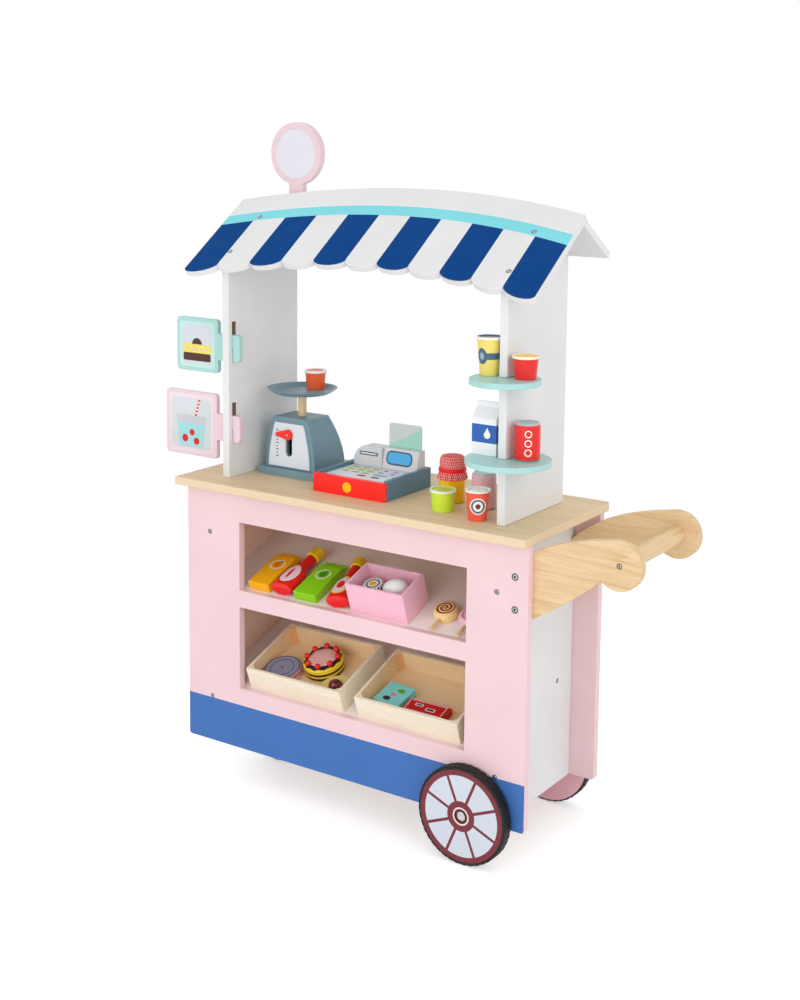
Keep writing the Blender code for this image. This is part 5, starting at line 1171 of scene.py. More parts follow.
# %% Finish cups and cans
NAVY, SILVER, BLUE_GREY = colour(42, 52, 74), colour(178, 184, 190), colour(74, 106, 132)
FACING, COFFEE_FACING = 33, -12  # degrees that a badge is turned from the front towards the right
CAN_LID = dict(lid=colour(168, 172, 178), lid_radius=14.0)
CAN_RIMS = [(48.2, 52, SILVER), (-1, 1.6, SILVER)]
toys = {
    "lime_cup": dict(
        body_colour=colour(206, 236, 62),
        bands=[(27.4, 31, OFF_WHITE)],
        lid=colour(190, 220, 70),
        lid_radius=16.6,
    ),
    "coral_cup": dict(
        body_colour=colour(240, 94, 66),
        bands=[(39.4, 43, OFF_WHITE)],
        lid_dots=NAVY,
        badges=[
            (-1.0, 1.0, 11, 11.5, 21, FACING, OFF_WHITE),
            (0.62, 0.85, 11, 11.5, 21, FACING, BLUE_GREY),
            (-1, 0.32, 11, 11.5, 21, FACING, MAROON),
        ],
    ),
    "orange_cup": dict(
        body_colour=colour(243, 100, 52),
        bands=[(25.6, 30, OFF_WHITE)],
        lid=colour(232, 60, 40),
        lid_radius=13.5,
    ),
    "red_cup": dict(
        body_colour=colour(230, 44, 40),
        bands=[(27.6, 32, colour(250, 240, 200))],
        lid=colour(244, 206, 110),
        lid_radius=15.5,
    ),
    "coffee_cup": dict(
        body_colour=colour(244, 222, 116),
        bands=[(48.8, 53, OFF_WHITE), (22, 31, BLUE_GREY)],
        lid=colour(88, 124, 134),
        lid_radius=16.8,
        badges=[
            (-1.0, 1.0, 8, 11, 26.5, COFFEE_FACING, BLUE_GREY),
            (-1.0, 0.45, 8, 11, 26.5, COFFEE_FACING, colour(150, 178, 190)),
        ],
    ),
    "pink_can": dict(body_colour=colour(228, 178, 184), bands=CAN_RIMS, **CAN_LID),
    "red_can": dict(
        body_colour=colour(232, 40, 34),
        bands=CAN_RIMS,
        badges=[(0.7, 1.0, 5.0, 5.0, z, FACING, OFF_WHITE) for z in (12.5, 25.0, 37.5)],
        **CAN_LID,
    ),
}
for name, look in toys.items():
    dress(paint(f"{name}_paint", turned_tone(name, **look), roughness=0.32, coat=0.3, wear_and_highlight=0.1), name)
print("turned toys:", len(toys))

# %% [markdown]
# ## The honey jar
# The jar is a yellow turned body under a checked cap with a red ribbon and a wavy skirt. The solid jar is
# plain, so a fuller one replaces it. The cap and the skirt are turned too, and a wave that grows towards
# the skirt's lower edge gives it folds.

# %% Build the jar
jar_low, jar_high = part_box("jar")
jar_foot = Vector(((jar_low.x + jar_high.x) / 2, (jar_low.y + jar_high.y) / 2, jar_low.z))
JAR_FOLDS, RIBBON_FOLDS = 15, 9
THREADS, SLANT, CROSS_THREADS = 44, 110.0, 280.0  # round the jar, and the last two for each metre of height
CLOTH_RED, CLOTH_PALE = colour(214, 26, 32), colour(248, 206, 200)


def check_tone(tree, point):
    """Red cloth with pale threads that run down it, and thinner ones across."""
    offset = vectors(tree, "SUBTRACT", point, jar_foot)
    parts = add_node(tree, "ShaderNodeSeparateXYZ", {0: offset}).outputs
    angle = maths(tree, "ARCTAN2", parts["Y"], parts["X"])
    slant = maths(tree, "MULTIPLY", parts["Z"], SLANT)
    down = maths(tree, "FRACT", maths(tree, "MULTIPLY_ADD", angle, THREADS / math.tau, slant))
    across = maths(tree, "FRACT", maths(tree, "MULTIPLY", parts["Z"], CROSS_THREADS))
    threads = maths(tree, "MAXIMUM", band(tree, down, 0.0, 0.24, 0.05), band(tree, across, 0.0, 0.1, 0.05))
    return mix_colours(tree, threads, CLOTH_RED, CLOTH_PALE)


def jar_tone(tree, point):
    """A deeper yellow in soft clouds, as honey shows through."""
    shade = ramp(tree, noise(tree, point, 30.0), 0.4, 0.7)
    return mix_colours(tree, shade, colour(255, 212, 14), colour(255, 196, 8))


def cap_fold(a, level):
    """The cloth's folds over the cap, which die out towards its top."""
    return 0.35 * MM * math.sin(JAR_FOLDS * a) * max(0.0, 1 - level / 5)


def skirt_fold(a, level):
    """The same folds in the skirt, wider towards its hem."""
    return (0.1, 0.5, 0.8, 1.1, 1.3, 1.3, 0.9, 0.2)[level] * MM * math.sin(JAR_FOLDS * a)


def ribbon_fold(a, level):
    return 0.25 * MM * math.sin(RIBBON_FOLDS * a + level)


JAR = [(0, 0), (16.3, 0), (17.7, 0.6), (18.3, 2), (18.3, 30), (17.9, 40), (16, 46), (0, 46)]
CAP = [(17.2, 45), (17.6, 48), (18.6, 53), (18.4, 59), (17.2, 63.5), (15.2, 65.8), (12, 66.7), (0, 67)]
SKIRT = [(17.4, 46), (18.9, 43.5), (20, 40), (20.8, 36), (21.2, 33.6), (20.6, 33.2), (19.4, 38), (17.6, 44)]
RIBBON = [(17.4, 43.0), (19.4, 43.4), (20.1, 45.2), (19.9, 47.2), (19.2, 49.4), (17.4, 50.2)]
jar_yellow = paint("jar_yellow", jar_tone, roughness=0.3, coat=0.3, wear_and_highlight=0.0)
cloth = paint("checked_cap", check_tone, roughness=0.75, coat=0.0, wear_and_highlight=0.0, depth=0.2 * MM)
ribbon_look = dict(roughness=0.5, coat=0.1, clouds=0.12, wear_and_highlight=0.0, depth=0.2 * MM)
ribbon_red = paint("ribbon_red", colour(226, 30, 36), **ribbon_look)
jar_body = lathe("jar_body", millimetres(JAR), jar_foot, X_AXIS, Y_AXIS, jar_yellow, "jar", 56)
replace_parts(jar_body, "jar")
lathe("jar_cap", millimetres(CAP), jar_foot, X_AXIS, Y_AXIS, cloth, "jar", 90, cap_fold)
lathe("jar_skirt", millimetres(SKIRT), jar_foot, X_AXIS, Y_AXIS, cloth, "jar", 120, skirt_fold)
lathe("jar_ribbon", millimetres(RIBBON), jar_foot, X_AXIS, Y_AXIS, ribbon_red, "jar", 60, ribbon_fold)
print("jar rebuilt, folds:", JAR_FOLDS)

# %% [markdown]
# ## The milk carton
# A white block with a folded top and a blue band round its body. A plain white drop on the band stands for
# milk. The drop is a round disc with a small point above it, cut as one thin plate.

# %% Finish the milk carton
milk_low, milk_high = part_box("milk_carton")
MILK_BLUE, CARTON_WHITE = colour(44, 98, 178), colour(240, 240, 242)
BLUE_FROM, BLUE_TO = 17 * MM, 42 * MM
DROP_RADIUS, DROP_TIP = 5, 10  # mm
DROP_START, DROP_TURN, DROP_STEPS = 130, 280, 20  # the disc's arc in degrees


def milk_tone(tree, point):
    z = add_node(tree, "ShaderNodeSeparateXYZ", {0: point}).outputs["Z"]
    blue = band(tree, z, milk_low.z + BLUE_FROM, milk_low.z + BLUE_TO, 2 * CRISP)
    return mix_colours(tree, blue, CARTON_WHITE, MILK_BLUE)


dress(paint("milk_print", milk_tone, roughness=0.35, coat=0.2, wear_and_highlight=0.1), "milk_carton")
angles = [math.radians(DROP_START + DROP_TURN * i / DROP_STEPS) for i in range(DROP_STEPS + 1)]
drop = [(DROP_RADIUS * math.cos(a), DROP_RADIUS * math.sin(a)) for a in angles] + [(0, DROP_TIP)]
drop_place = Vector((milk_low.x + 24 * MM, milk_low.y, milk_low.z + 28 * MM))
white_ink = ink("off_white", OFF_WHITE)
plate("milk_drop", millimetres(drop), drop_place, X_AXIS, Z_AXIS, white_ink, "milk_carton")
print("milk carton height in mm:", round((milk_high.z - milk_low.z) / MM, 1))

# %% [markdown]
# ## The upper shelf
# Here lie two juice cartons, two sauce bottles, a pink tub and two lollipops, on a shelf that climbs to the
# back. Each print is laid out in the shelf's own directions: up the slope, and square off it.

# %% Finish the cartons
ORANGE, GREEN, LEAF = colour(255, 184, 12), colour(140, 214, 20), colour(66, 130, 40)
SAUCE_RED, LABEL = colour(236, 30, 28), colour(236, 214, 226)
CARTON_HEIGHT, BOTTLE_HEIGHT = 14 * MM, 13 * MM  # square off the shelf
PRINT_LIFT = 8 * MM  # a print's own middle is this far off the shelf, so that it marks the upper side alone


def on_shelf(node, front_height):
    """The lower front edge of a piece on a sloping shelf, at its middle: its lowest point is there."""
    low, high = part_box(node)
    return Vector(((low.x + high.x) / 2, low.y + front_height * math.sin(SLOPE), low.z))


def ovals(base, origin, marks, along=None, ends=()):
    """Printed ovals on top of a piece that lies along a direction, and bands at its ends, in millimetres.

    A mark gives its place aside and along, half its width and height, its ring's two shares, and its colour.
    """

    def tone(tree, point):
        made = base
        direction = along or up_shelf
        across = direction.cross(off_shelf)
        offset = vectors(tree, "SUBTRACT", point, origin)
        up_piece = vectors(tree, "DOT_PRODUCT", offset, direction)
        for start, end, end_colour in ends:
            made = mix_colours(tree, band(tree, up_piece, start * MM, end * MM, 2 * CRISP), made, end_colour)
        for side, place, half_width, half_height, inner, outer, ink_colour in marks:
            middle = origin + across * side * MM + direction * place * MM + off_shelf * PRINT_LIFT
            wide, tall = across * half_width * MM, direction * half_height * MM
            made = printed(tree, made, point, middle, wide, tall, inner, outer, ink_colour)
        return made

    return tone


cartons = (("orange_carton", ORANGE, colour(240, 120, 20)), ("green_carton", GREEN, colour(70, 150, 30)))
for node, base, fruit in cartons:
    foot = on_shelf(node, CARTON_HEIGHT)
    marks = [
        (0, 50, 12, 12, 0.84, 1.0, OFF_WHITE),
        (0, 50, 6.5, 6.5, -1, 1, fruit),
        (3, 58.5, 3.2, 1.5, -1, 1, LEAF),
    ]
    dress(paint(f"{node}_paint", ovals(base, foot, marks), roughness=0.35, coat=0.25, wear_and_highlight=0.1), node)
    soften(0.8 * MM, node)

print("cartons printed:", len(cartons))

# %% [markdown]
# ## Sauce bottles
# Two red bottles lie on their sides, each with a yellow cap and a pale label. The right one is turned a
# little, so its marks follow a direction of their own. The same pattern of ovals prints both.

# %% Finish the bottles
bottle_foot = on_shelf("left_bottle", BOTTLE_HEIGHT)
cap = [(82.8, 104, colour(246, 204, 40))]
marks = [
    (0, 31, 12.5, 21, -1, 1, OFF_WHITE),
    (0, 31, 11.5, 20, -1, 1, LABEL),
    (0, 31, 2.6, 13, -1, 1, SAUCE_RED),
]
left_look = ovals(SAUCE_RED, bottle_foot, marks, ends=cap)
dress(paint("left_bottle_paint", left_look, roughness=0.3, coat=0.3, wear_and_highlight=0.0), "left_bottle")
LEAN, RIGHT_FOOT = math.radians(14), 20.5 * MM  # the right bottle's turn, and how far in its foot stands
leaning = Matrix.Rotation(LEAN, 3, off_shelf) @ up_shelf
_, right_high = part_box("right_bottle")
bottle_foot = Vector((right_high.x - RIGHT_FOOT, bottle_foot.y, bottle_foot.z))
marks = [
    (0, 31, 14, 21.5, -1, 1, colour(250, 206, 40)),
    (0, 31, 11.5, 18.5, -1, 1, LABEL),
    (0, 31, 6, 9, -1, 1, SAUCE_RED),
]
right_look = ovals(SAUCE_RED, bottle_foot, marks, leaning, cap)
dress(paint("right_bottle_paint", right_look, roughness=0.3, coat=0.3, wear_and_highlight=0.0), "right_bottle")
print("right bottle's turn in degrees:", round(math.degrees(LEAN)))

# %% [markdown]
# ## Lollipops
# A lollipop is a thick disc on a stick. Its swirl is a line that winds outwards by the same step each turn,
# which in numbers is a radius with an angle taken off, counted round. A second, pink lollipop lies at the
# end of the shelf behind the window's edge. The discs are turned, with rounded rims, and so are the sticks.

# %% Finish the lollipops
lolly_low, lolly_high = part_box("swirl_lollipop")
LOLLY_RADIUS, LOLLY_THICKNESS = 19 * MM, 17 * MM
lolly_top = Vector(((lolly_low.x + lolly_high.x) / 2, 0, 0))
lolly_top.y = lolly_high.y - LOLLY_RADIUS * math.cos(SLOPE)
lolly_top.z = lolly_high.z - LOLLY_RADIUS * math.sin(SLOPE)
SWIRL_STEP, SWIRL_RADIUS, SWIRL_DEPTH = 5.6 * MM, 14.5 * MM, 2.5 * MM
PINK_ASIDE, PINK_DOWN = 42 * MM, 1 * MM  # from the first lollipop to the pink one
STICK_LENGTH, STICK_RADIUS = 22, 2.7  # mm


def swirl(middle, cream, dark):
    """A dark line wound round a middle, on top of a cream disc."""

    def tone(tree, point):
        offset = vectors(tree, "SUBTRACT", point, middle)
        across = vectors(tree, "DOT_PRODUCT", offset, X_AXIS)
        upward = vectors(tree, "DOT_PRODUCT", offset, up_shelf)
        height = vectors(tree, "DOT_PRODUCT", offset, off_shelf)
        flat = add_node(tree, "ShaderNodeCombineXYZ", {0: across, 1: upward}).outputs[0]
        radius = vectors(tree, "LENGTH", flat)
        turns = maths(tree, "DIVIDE", maths(tree, "ARCTAN2", upward, across), math.tau)
        steps = maths(tree, "SUBTRACT", maths(tree, "DIVIDE", radius, SWIRL_STEP), turns)
        wound = maths(tree, "FLOORED_MODULO", steps, 1.0)
        within = band(tree, radius, -1.0, SWIRL_RADIUS, INK_LINE)
        line = maths(tree, "MULTIPLY", band(tree, wound, 0.2, 0.72, 0.05), within)
        line = maths(tree, "MULTIPLY", line, maths(tree, "GREATER_THAN", height, -SWIRL_DEPTH))
        return mix_colours(tree, line, cream, dark)

    return tone


look = swirl(lolly_top, colour(247, 210, 146), colour(140, 26, 26))
swirl_paint = paint("swirl_paint", look, roughness=0.3, coat=0.3, wear_and_highlight=0.0)

pink_middle = lolly_top + X_AXIS * PINK_ASIDE - up_shelf * PINK_DOWN
pink_look = swirl(pink_middle, colour(240, 196, 212), colour(232, 120, 160))
pink_candy = paint("pink_swirl_paint", pink_look, roughness=0.3, coat=0.3, wear_and_highlight=0.0)
CANDY = [(0, -16.9), (13, -16.9), (16.5, -15.2), (18.4, -12.4), (19, -8.6)]
CANDY += [(18.5, -4), (17, -1.4), (14.5, -0.2), (0, 0)]
candy = millimetres(CANDY)
lathe("pink_lollipop", candy, pink_middle, X_AXIS, up_shelf, pink_candy, "cart", 48)
fine_candy = lathe("swirl_candy", candy, lolly_top, X_AXIS, up_shelf, swirl_paint, "swirl_lollipop", 48)
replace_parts(fine_candy, "swirl_lollipop")
stick_wood = wood("stick_wood", colour(232, 196, 146), colour(196, 152, 100), (60, 3, 60), 6.0, 0.5)
stick = [(0, 4), (STICK_RADIUS, 4), (STICK_RADIUS, 0.6 - STICK_LENGTH)]
stick += [(STICK_RADIUS - 0.5, -STICK_LENGTH), (0, -STICK_LENGTH)]
for name, middle, body in (("swirl", lolly_top, "swirl_lollipop"), ("pink", pink_middle, "cart")):
    start = middle - up_shelf * LOLLY_RADIUS - off_shelf * LOLLY_THICKNESS / 2
    lathe(f"{name}_lollipop_stick", millimetres(stick), start, off_shelf, X_AXIS, stick_wood, body, 20)
print("turns in the swirl:", round(SWIRL_RADIUS / SWIRL_STEP, 1))

# %% [markdown]
# ## The pink tub
# The tub holds an egg and a dotted biscuit. On the tub's floor they would lie lower than in the real one,
# so a thin board inside holds them up. An egg is a ball whose upper half is longer, so one profile maker
# serves the egg here and the cherries later. The biscuit's rings and dashes are a pattern about its middle.

# %% Fill the tub
TUB_HEIGHT, TUB_WALL, TUB_DEPTH = 48 * MM, 4 * MM, 58 * MM
INSERT_TOP, INSERT_BOARD, INSERT_PLAY = 20.5 * MM, 3 * MM, 1 * MM  # height, thickness, and room in the walls
EGG_RADIUS, EGG_HEIGHT, EGG_ASIDE = 14, 16.5, 19  # mm
BISCUIT_HEIGHT, BISCUIT_ASIDE, DASHES = 14.5, 22, 22


def ball(radius, half_height, steps, stretch=1.0):
    """A ball's profile from foot to top, in millimetres. The stretch lengthens its upper half to an egg's."""
    angles = [math.pi * i / steps for i in range(1, steps)]
    heights = [-half_height * math.cos(a) * (1.0 if a < math.pi / 2 else stretch) for a in angles]
    side = [(radius * math.sin(a), height) for a, height in zip(angles, heights)]
    return [(0, -half_height), *side, (0, half_height * stretch)]


tub_paint = paint("tub_pink", colour(246, 192, 210), roughness=0.4, coat=0.12)
dress(tub_paint, "pink_tub")
soften(0.8 * MM, "pink_tub")
tub_low, tub_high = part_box("pink_tub")
tub_foot = on_shelf("pink_tub", TUB_HEIGHT)
insert_width = tub_high.x - tub_low.x - 2 * TUB_WALL - INSERT_PLAY
insert = tablet(insert_width, TUB_DEPTH - 2 * TUB_WALL - INSERT_PLAY, 1 * MM)
tub_middle = tub_foot + up_shelf * TUB_DEPTH / 2
insert_middle = tub_middle + off_shelf * (INSERT_TOP - INSERT_BOARD / 2)
plate("tub_insert", insert, insert_middle, X_AXIS, up_shelf, tub_paint, "pink_tub", INSERT_BOARD / 2)
egg_middle = tub_middle + X_AXIS * EGG_ASIDE * MM + off_shelf * (INSERT_TOP + EGG_RADIUS * MM)
egg = millimetres(ball(EGG_RADIUS, EGG_HEIGHT, 16, 1.25))
egg_white = paint("egg_white", colour(240, 241, 240), roughness=0.35, coat=0.2, wear_and_highlight=0.0)
tipped = (X_AXIS * 0.94 + up_shelf * 0.34).normalized()
lathe("egg", egg, egg_middle, tipped.cross(off_shelf), off_shelf, egg_white, "pink_tub", 36)
biscuit_middle = tub_middle - X_AXIS * BISCUIT_ASIDE * MM + off_shelf * (INSERT_TOP + BISCUIT_HEIGHT * MM)


def dotted_tone(tree, point):
    """A cream biscuit with a dashed dark rim, a blue ring and a yellow middle."""
    offset = vectors(tree, "SUBTRACT", point, biscuit_middle)
    across = vectors(tree, "DOT_PRODUCT", offset, X_AXIS)
    upward = vectors(tree, "DOT_PRODUCT", offset, up_shelf)
    flat = add_node(tree, "ShaderNodeCombineXYZ", {0: across, 1: upward}).outputs[0]
    radius = vectors(tree, "LENGTH", flat)
    turn = maths(tree, "FLOORED_MODULO", maths(tree, "ARCTAN2", upward, across), math.tau / DASHES)
    rim = band(tree, radius, 13 * MM, 20 * MM, INK_LINE)
    dashes = maths(tree, "MULTIPLY", rim, band(tree, turn, 0.06, 0.2, 0.02))
    made = mix_colours(tree, dashes, OFF_WHITE, colour(38, 38, 48))
    made = mix_colours(tree, band(tree, radius, 8 * MM, 10.5 * MM, INK_LINE), made, colour(52, 74, 150))
    return mix_colours(tree, band(tree, radius, -1.0, 5.5 * MM, INK_LINE), made, YELLOW)


dotted = paint("dotted_biscuit_print", dotted_tone, roughness=0.4, coat=0.1, wear_and_highlight=0.0)
disc = [(0, -BISCUIT_HEIGHT), (14.5, -BISCUIT_HEIGHT), (16, 1 - BISCUIT_HEIGHT)]
disc += [(16.5, -8), (16, -1.2), (14.5, 0), (0, 0)]
lathe("dotted_biscuit", millimetres(disc), biscuit_middle, X_AXIS, up_shelf, dotted, "pink_tub", 40)
print("biscuit stands above the board by mm:", BISCUIT_HEIGHT)

# %% [markdown]
# ## Biscuits in the left tray
# A grey layer biscuit has a pink striped side and three thin rings on top. A second biscuit carries a
# chocolate ball. The stripes follow the height over the tray's sloping floor, so a pattern of bands lies
# along it. The rings are turned, and stand up a quarter of a millimetre.

# %% Finish the biscuits
def on_top(node):
    """The middle of the top face of a piece that lies on a sloping shelf or tray."""
    low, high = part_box(node)
    middle = (low + high) / 2
    return middle + off_shelf * (reach(node, off_shelf)[1] - middle.dot(off_shelf))


def layered(node, side_colour, bands, specks=None):
    """Bands round a flat toy on the slope, by height over the face that it lies on."""
    foot = reach(node, off_shelf)[0]

    def tone(tree, point):
        height = maths(tree, "SUBTRACT", vectors(tree, "DOT_PRODUCT", point, off_shelf), foot)
        made = side_colour
        for start, end, band_colour in bands:
            made = mix_colours(tree, band(tree, height, start * MM, end * MM, 0.15 * MM), made, band_colour)
        if specks:
            spots = ramp(tree, noise(tree, point, 420.0, 1.0), 0.62, 0.66)
            made = mix_colours(tree, spots, made, specks)
        return made

    return tone


LAVENDER = colour(150, 150, 176)
bands = [(2.4, 4.4, colour(242, 216, 208)), (6.4, 8.2, colour(196, 100, 108)), (10.4, 20, LAVENDER)]
biscuit_look = layered("layer_biscuit", colour(230, 156, 156), bands)
dress(paint("layer_biscuit_paint", biscuit_look, roughness=0.45, wear_and_highlight=0.0), "layer_biscuit")
line_ink = ink("groove", colour(58, 56, 74))
biscuit_top = on_top("layer_biscuit")
LINE_RADII, LINE_WIDTH = (26.5, 18.0, 1.0), 1.0  # mm
for i, radius in enumerate(LINE_RADII):
    outer = radius + LINE_WIDTH
    line = millimetres([(radius, -0.2), (radius, 0.25), (outer, 0.25), (outer, -0.2)])
    lathe(f"layer_biscuit_line_{i + 1}", line, biscuit_top, X_AXIS, up_shelf, line_ink, "layer_biscuit", 56)

bands = [(-1, 5.5, colour(226, 196, 116)), (8.4, 40, colour(98, 38, 40))]
ball_look = layered("ball_biscuit", colour(246, 230, 140), bands, colour(228, 130, 140))
dress(paint("ball_biscuit_paint", ball_look, roughness=0.35, coat=0.2, wear_and_highlight=0.0), "ball_biscuit")
print("rings on the layer biscuit:", len(LINE_RADII))

# %% [markdown]
# ## The cherry cake
# A yellow cake with two dark stripes round its side, a ring of dark icing, pink cream and eight cherries.
# Icing, cream and cherries stand up from the cake and cast shadows, so they are pieces of their own. The
# icing and the cream are turned, and a wave round their rims makes the lobes.

# %% Finish the cherry cake
CAKE_YELLOW, ICING, CAKE_PINK = colour(252, 222, 62), colour(52, 36, 36), colour(250, 200, 194)
bands = [(2.5, 6.0, ICING), (9.5, 13.0, ICING)]
dress(paint("cake_paint", layered("cherry_cake", CAKE_YELLOW, bands), roughness=0.4, wear_and_highlight=0.0), "cherry_cake")
cake_top = on_top("cherry_cake")
ICING_RIM = [(0, -0.5), (27.5, -0.5), (28.6, 0.3), (27.5, 1.2), (24, 1.5), (0, 1.5)]
CREAM_TOP = [(0, 1.2), (20.5, 1.2), (21.5, 1.9), (20.5, 2.5), (12, 2.9), (0, 3.0)]
CHERRIES, CHERRY, CHERRY_RING = 8, 4.6, 24.6  # how many, and the radii in mm of one and of their ring
ICING_LOBES, CREAM_LOBES = 12, 16


def icing_wave(a, level):
    """Lobes round the icing's rim. The levels at its middle stay round."""
    return 1.4 * MM * math.sin(ICING_LOBES * a) if level in (1, 2, 3) else 0.0


def cream_wave(a, level):
    return 0.5 * MM * math.sin(CREAM_LOBES * a) if 0 < level < 4 else 0.0


icing_paint = paint("icing_brown", ICING, roughness=0.3, coat=0.3, wear_and_highlight=0.0)
icing = millimetres(ICING_RIM)
lathe("cake_icing", icing, cake_top, X_AXIS, up_shelf, icing_paint, "cherry_cake", 96, icing_wave)
cream_look = layered("cherry_cake", CAKE_PINK, [], colour(222, 120, 124))
cream_paint = paint("cake_cream", cream_look, roughness=0.5, wear_and_highlight=0.0, depth=0.15 * MM)
cream = millimetres(CREAM_TOP)
lathe("cake_cream", cream, cake_top, X_AXIS, up_shelf, cream_paint, "cherry_cake", 64, cream_wave)
cherry = millimetres(ball(CHERRY, CHERRY, 12))
cherry_paint = paint("cherry_red", colour(234, 34, 34), roughness=0.2, coat=0.5, wear_and_highlight=0.0)
for i in range(CHERRIES):
    a = math.tau * (i + 0.4) / CHERRIES
    out = X_AXIS * math.cos(a) + up_shelf * math.sin(a)
    at = cake_top + out * CHERRY_RING * MM + off_shelf * CHERRY * MM
    lathe(f"cherry_{i + 1}", cherry, at, X_AXIS, up_shelf, cherry_paint, "cherry_cake", 20)
print("cherries:", CHERRIES)

# %% [markdown]
# ## Sweets in the right tray
# A teal box with three printed discs, and a red box with a white stitched border and two small bars. Both
# prints are this lesson's own. They lie in the boxes' own directions, since the teal box is turned a little
# in the tray.

# %% Finish the sweet boxes
sweets_middle = on_top("sweets_box")
TURN = math.radians(-7)
sweets_up = Matrix.Rotation(TURN, 3, off_shelf) @ up_shelf
sweets_across = sweets_up.cross(off_shelf)
teal_paint = paint("sweets_teal", colour(136, 226, 226), roughness=0.35, coat=0.2, wear_and_highlight=0.1)
dress(teal_paint, "sweets_box")
discs = [
    (6, 10, 5.0, colour(96, 176, 62)),
    (0, -1, 4.4, colour(226, 140, 178)),
    (-5, -11, 5.0, colour(60, 46, 50)),
]
for i, (a, b, radius, tone) in enumerate(discs):
    outline = millimetres(oval(radius * 1.25, radius * 0.85, (a, b)))
    disc_ink = ink(f"sweets_{i + 1}", tone)
    plate(f"sweets_disc_{i + 1}", outline, sweets_middle, sweets_across, sweets_up, disc_ink, "sweets_box")

chocolate_low, chocolate_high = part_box("chocolate_box")
chocolate_middle = on_top("chocolate_box")
dress(paint("chocolate_red", colour(206, 26, 32), roughness=0.35, coat=0.2, wear_and_highlight=0.1), "chocolate_box")
STITCH, STITCH_MARGIN, ROW_HEIGHT = 1 * MM, 3 * MM, 10.5 * MM
row = (chocolate_high.x - chocolate_low.x) / 2 - STITCH_MARGIN
stitches = [(row * (i / 9 - 1), side * ROW_HEIGHT) for side in (-1, 1) for i in range(19)]
stitches += [(side * row, ROW_HEIGHT * i / 3) for side in (-1, 1) for i in range(-2, 3)]
for i, at in enumerate(stitches):
    dot = oval(STITCH, STITCH, at, 8)
    plate(f"stitch_{i + 1}", dot, chocolate_middle, X_AXIS, up_shelf, white_ink, "chocolate_box", 0.2 * MM)
bar_ink = ink("bar", BROWN)
bars = [(-12, 3, 13, 5, white_ink), (-12, 3, 10, 3, bar_ink)]
bars += [(9, -2, 15, 6, white_ink), (9, -2, 12, 4, bar_ink)]
for i, (a, b, width, height, layer_ink) in enumerate(bars):
    lifted = chocolate_middle + off_shelf * 0.1 * MM * (i % 2)
    bar = tablet(width * MM, height * MM, 0.8 * MM, (a * MM, b * MM))
    plate(f"bar_{i + 1}", bar, lifted, X_AXIS, up_shelf, layer_ink, "chocolate_box")
print("stitches:", len(stitches))

# %% [markdown]
# ## Floor and sky
# The picture has a white floor that runs into a white background. The floor is plain grey for the light.
# For the eye it glows a little and fades into white, so it keeps the cart's shadow near it and shows no
# horizon. The sky is white for the eye and a little dimmer for the light.

# %% Lay the floor and set the sky
SKY = 0.82
FLOOR_HALF, FLOOR_DROP = 8.0, 0.2 * MM  # half the floor's width, and the play under the wheels
FLOOR_GREY, FLOOR_GLOW = 0.86, 0.42
FADE_FROM, FADE_TO = 0.6, 1.3  # metres from the cart's middle


def seen_by_eye(tree):
    """One for what the eye sees, straight, mirrored or through glass, and zero for the light on the cart."""
    path = tree.nodes.new("ShaderNodeLightPath").outputs
    straight = maths(tree, "MAXIMUM", path["Is Camera Ray"], path["Is Glossy Ray"])
    return maths(tree, "MAXIMUM", straight, path["Is Transmission Ray"])


floor_bm = bmesh.new()
bmesh.ops.create_grid(floor_bm, x_segments=1, y_segments=1, size=FLOOR_HALF)
floor_mesh = bpy.data.meshes.new("floor")
floor_bm.to_mesh(floor_mesh)
floor_bm.free()
floor = bpy.data.objects.new("floor", floor_mesh)
floor.location.z = -FLOOR_DROP
bpy.context.scene.collection.objects.link(floor)

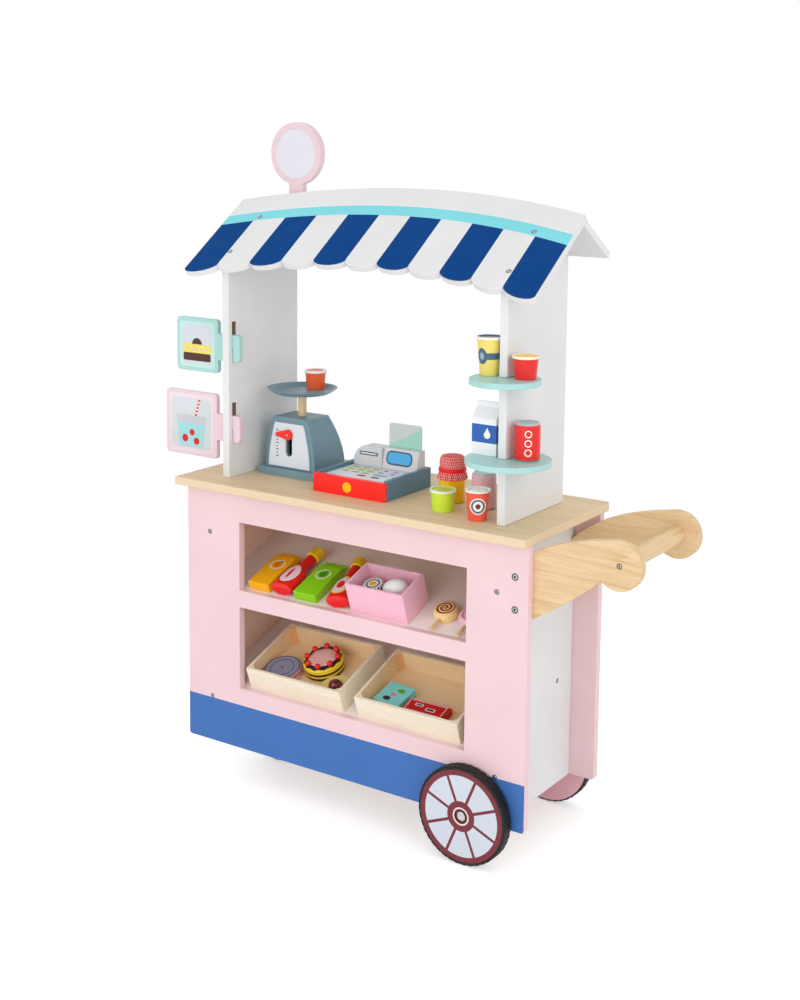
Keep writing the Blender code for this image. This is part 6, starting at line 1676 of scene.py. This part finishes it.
floor_material, tree, shader, point = blank("studio_floor")
shader.inputs["Base Color"].default_value = (FLOOR_GREY, FLOOR_GREY, FLOOR_GREY, 1)
shader.inputs["Roughness"].default_value = 0.9
glow = add_node(tree, "ShaderNodeEmission", {"Strength": FLOOR_GLOW}).outputs[0]
lit = add_node(tree, "ShaderNodeAddShader", {0: shader.outputs[0], 1: glow}).outputs[0]
white = add_node(tree, "ShaderNodeEmission", {"Strength": 1.0}).outputs[0]
far = ramp(tree, vectors(tree, "LENGTH", point), FADE_FROM, FADE_TO)
shown = add_node(tree, "ShaderNodeMixShader", {0: far, 1: lit, 2: white}).outputs[0]
seen = seen_by_eye(tree)
whole = add_node(tree, "ShaderNodeMixShader", {0: seen, 1: shader.outputs[0], 2: shown}).outputs[0]
tree.links.new(whole, tree.nodes["Material Output"].inputs["Surface"])
floor_mesh.materials.append(floor_material)

world = bpy.data.worlds.new("studio")
bpy.context.scene.world = world
world.use_nodes = True
tree = world.node_tree
sky = tree.nodes["Background"]
sky.inputs["Color"].default_value = (1, 1, 1, 1)
tree.links.new(maths(tree, "MULTIPLY_ADD", seen_by_eye(tree), 1.0 - SKY, SKY), sky.inputs["Strength"])
print("sky strength:", SKY)

# %% [markdown]
# ## Lamps
# The light is so soft that only a faint shadow lies under the cart, so the lamps are large squares. One
# stands at the front and a stronger one at the right, and a small low one shines into the windows. The even
# sky does the rest.

# %% Set the lamps
def lamp(name, place, target, size, power):
    """A square lamp that looks at a target. Its size is in metres and its power in watts."""
    data = bpy.data.lights.new(name, "AREA")
    data.shape = "SQUARE"
    data.size = size
    data.energy = power
    made = bpy.data.objects.new(name, data)
    made.location = place
    made.rotation_euler = (Vector(target) - Vector(place)).to_track_quat("-Z", "Y").to_euler()
    bpy.context.scene.collection.objects.link(made)


lamp("front", (-0.9, -2.9, 1.35), (0, 0, 0.45), 2.4, 12.5)
lamp("right", (2.9, -1.2, 1.5), (0, 0, 0.5), 2.2, 22)
lamp("low_front", (0.2, -2.7, 0.6), (0, 0, 0.36), 1.3, 8.5)
bpy.context.scene.view_settings.view_transform = "Standard"
print("lamps:", len(bpy.data.lights))
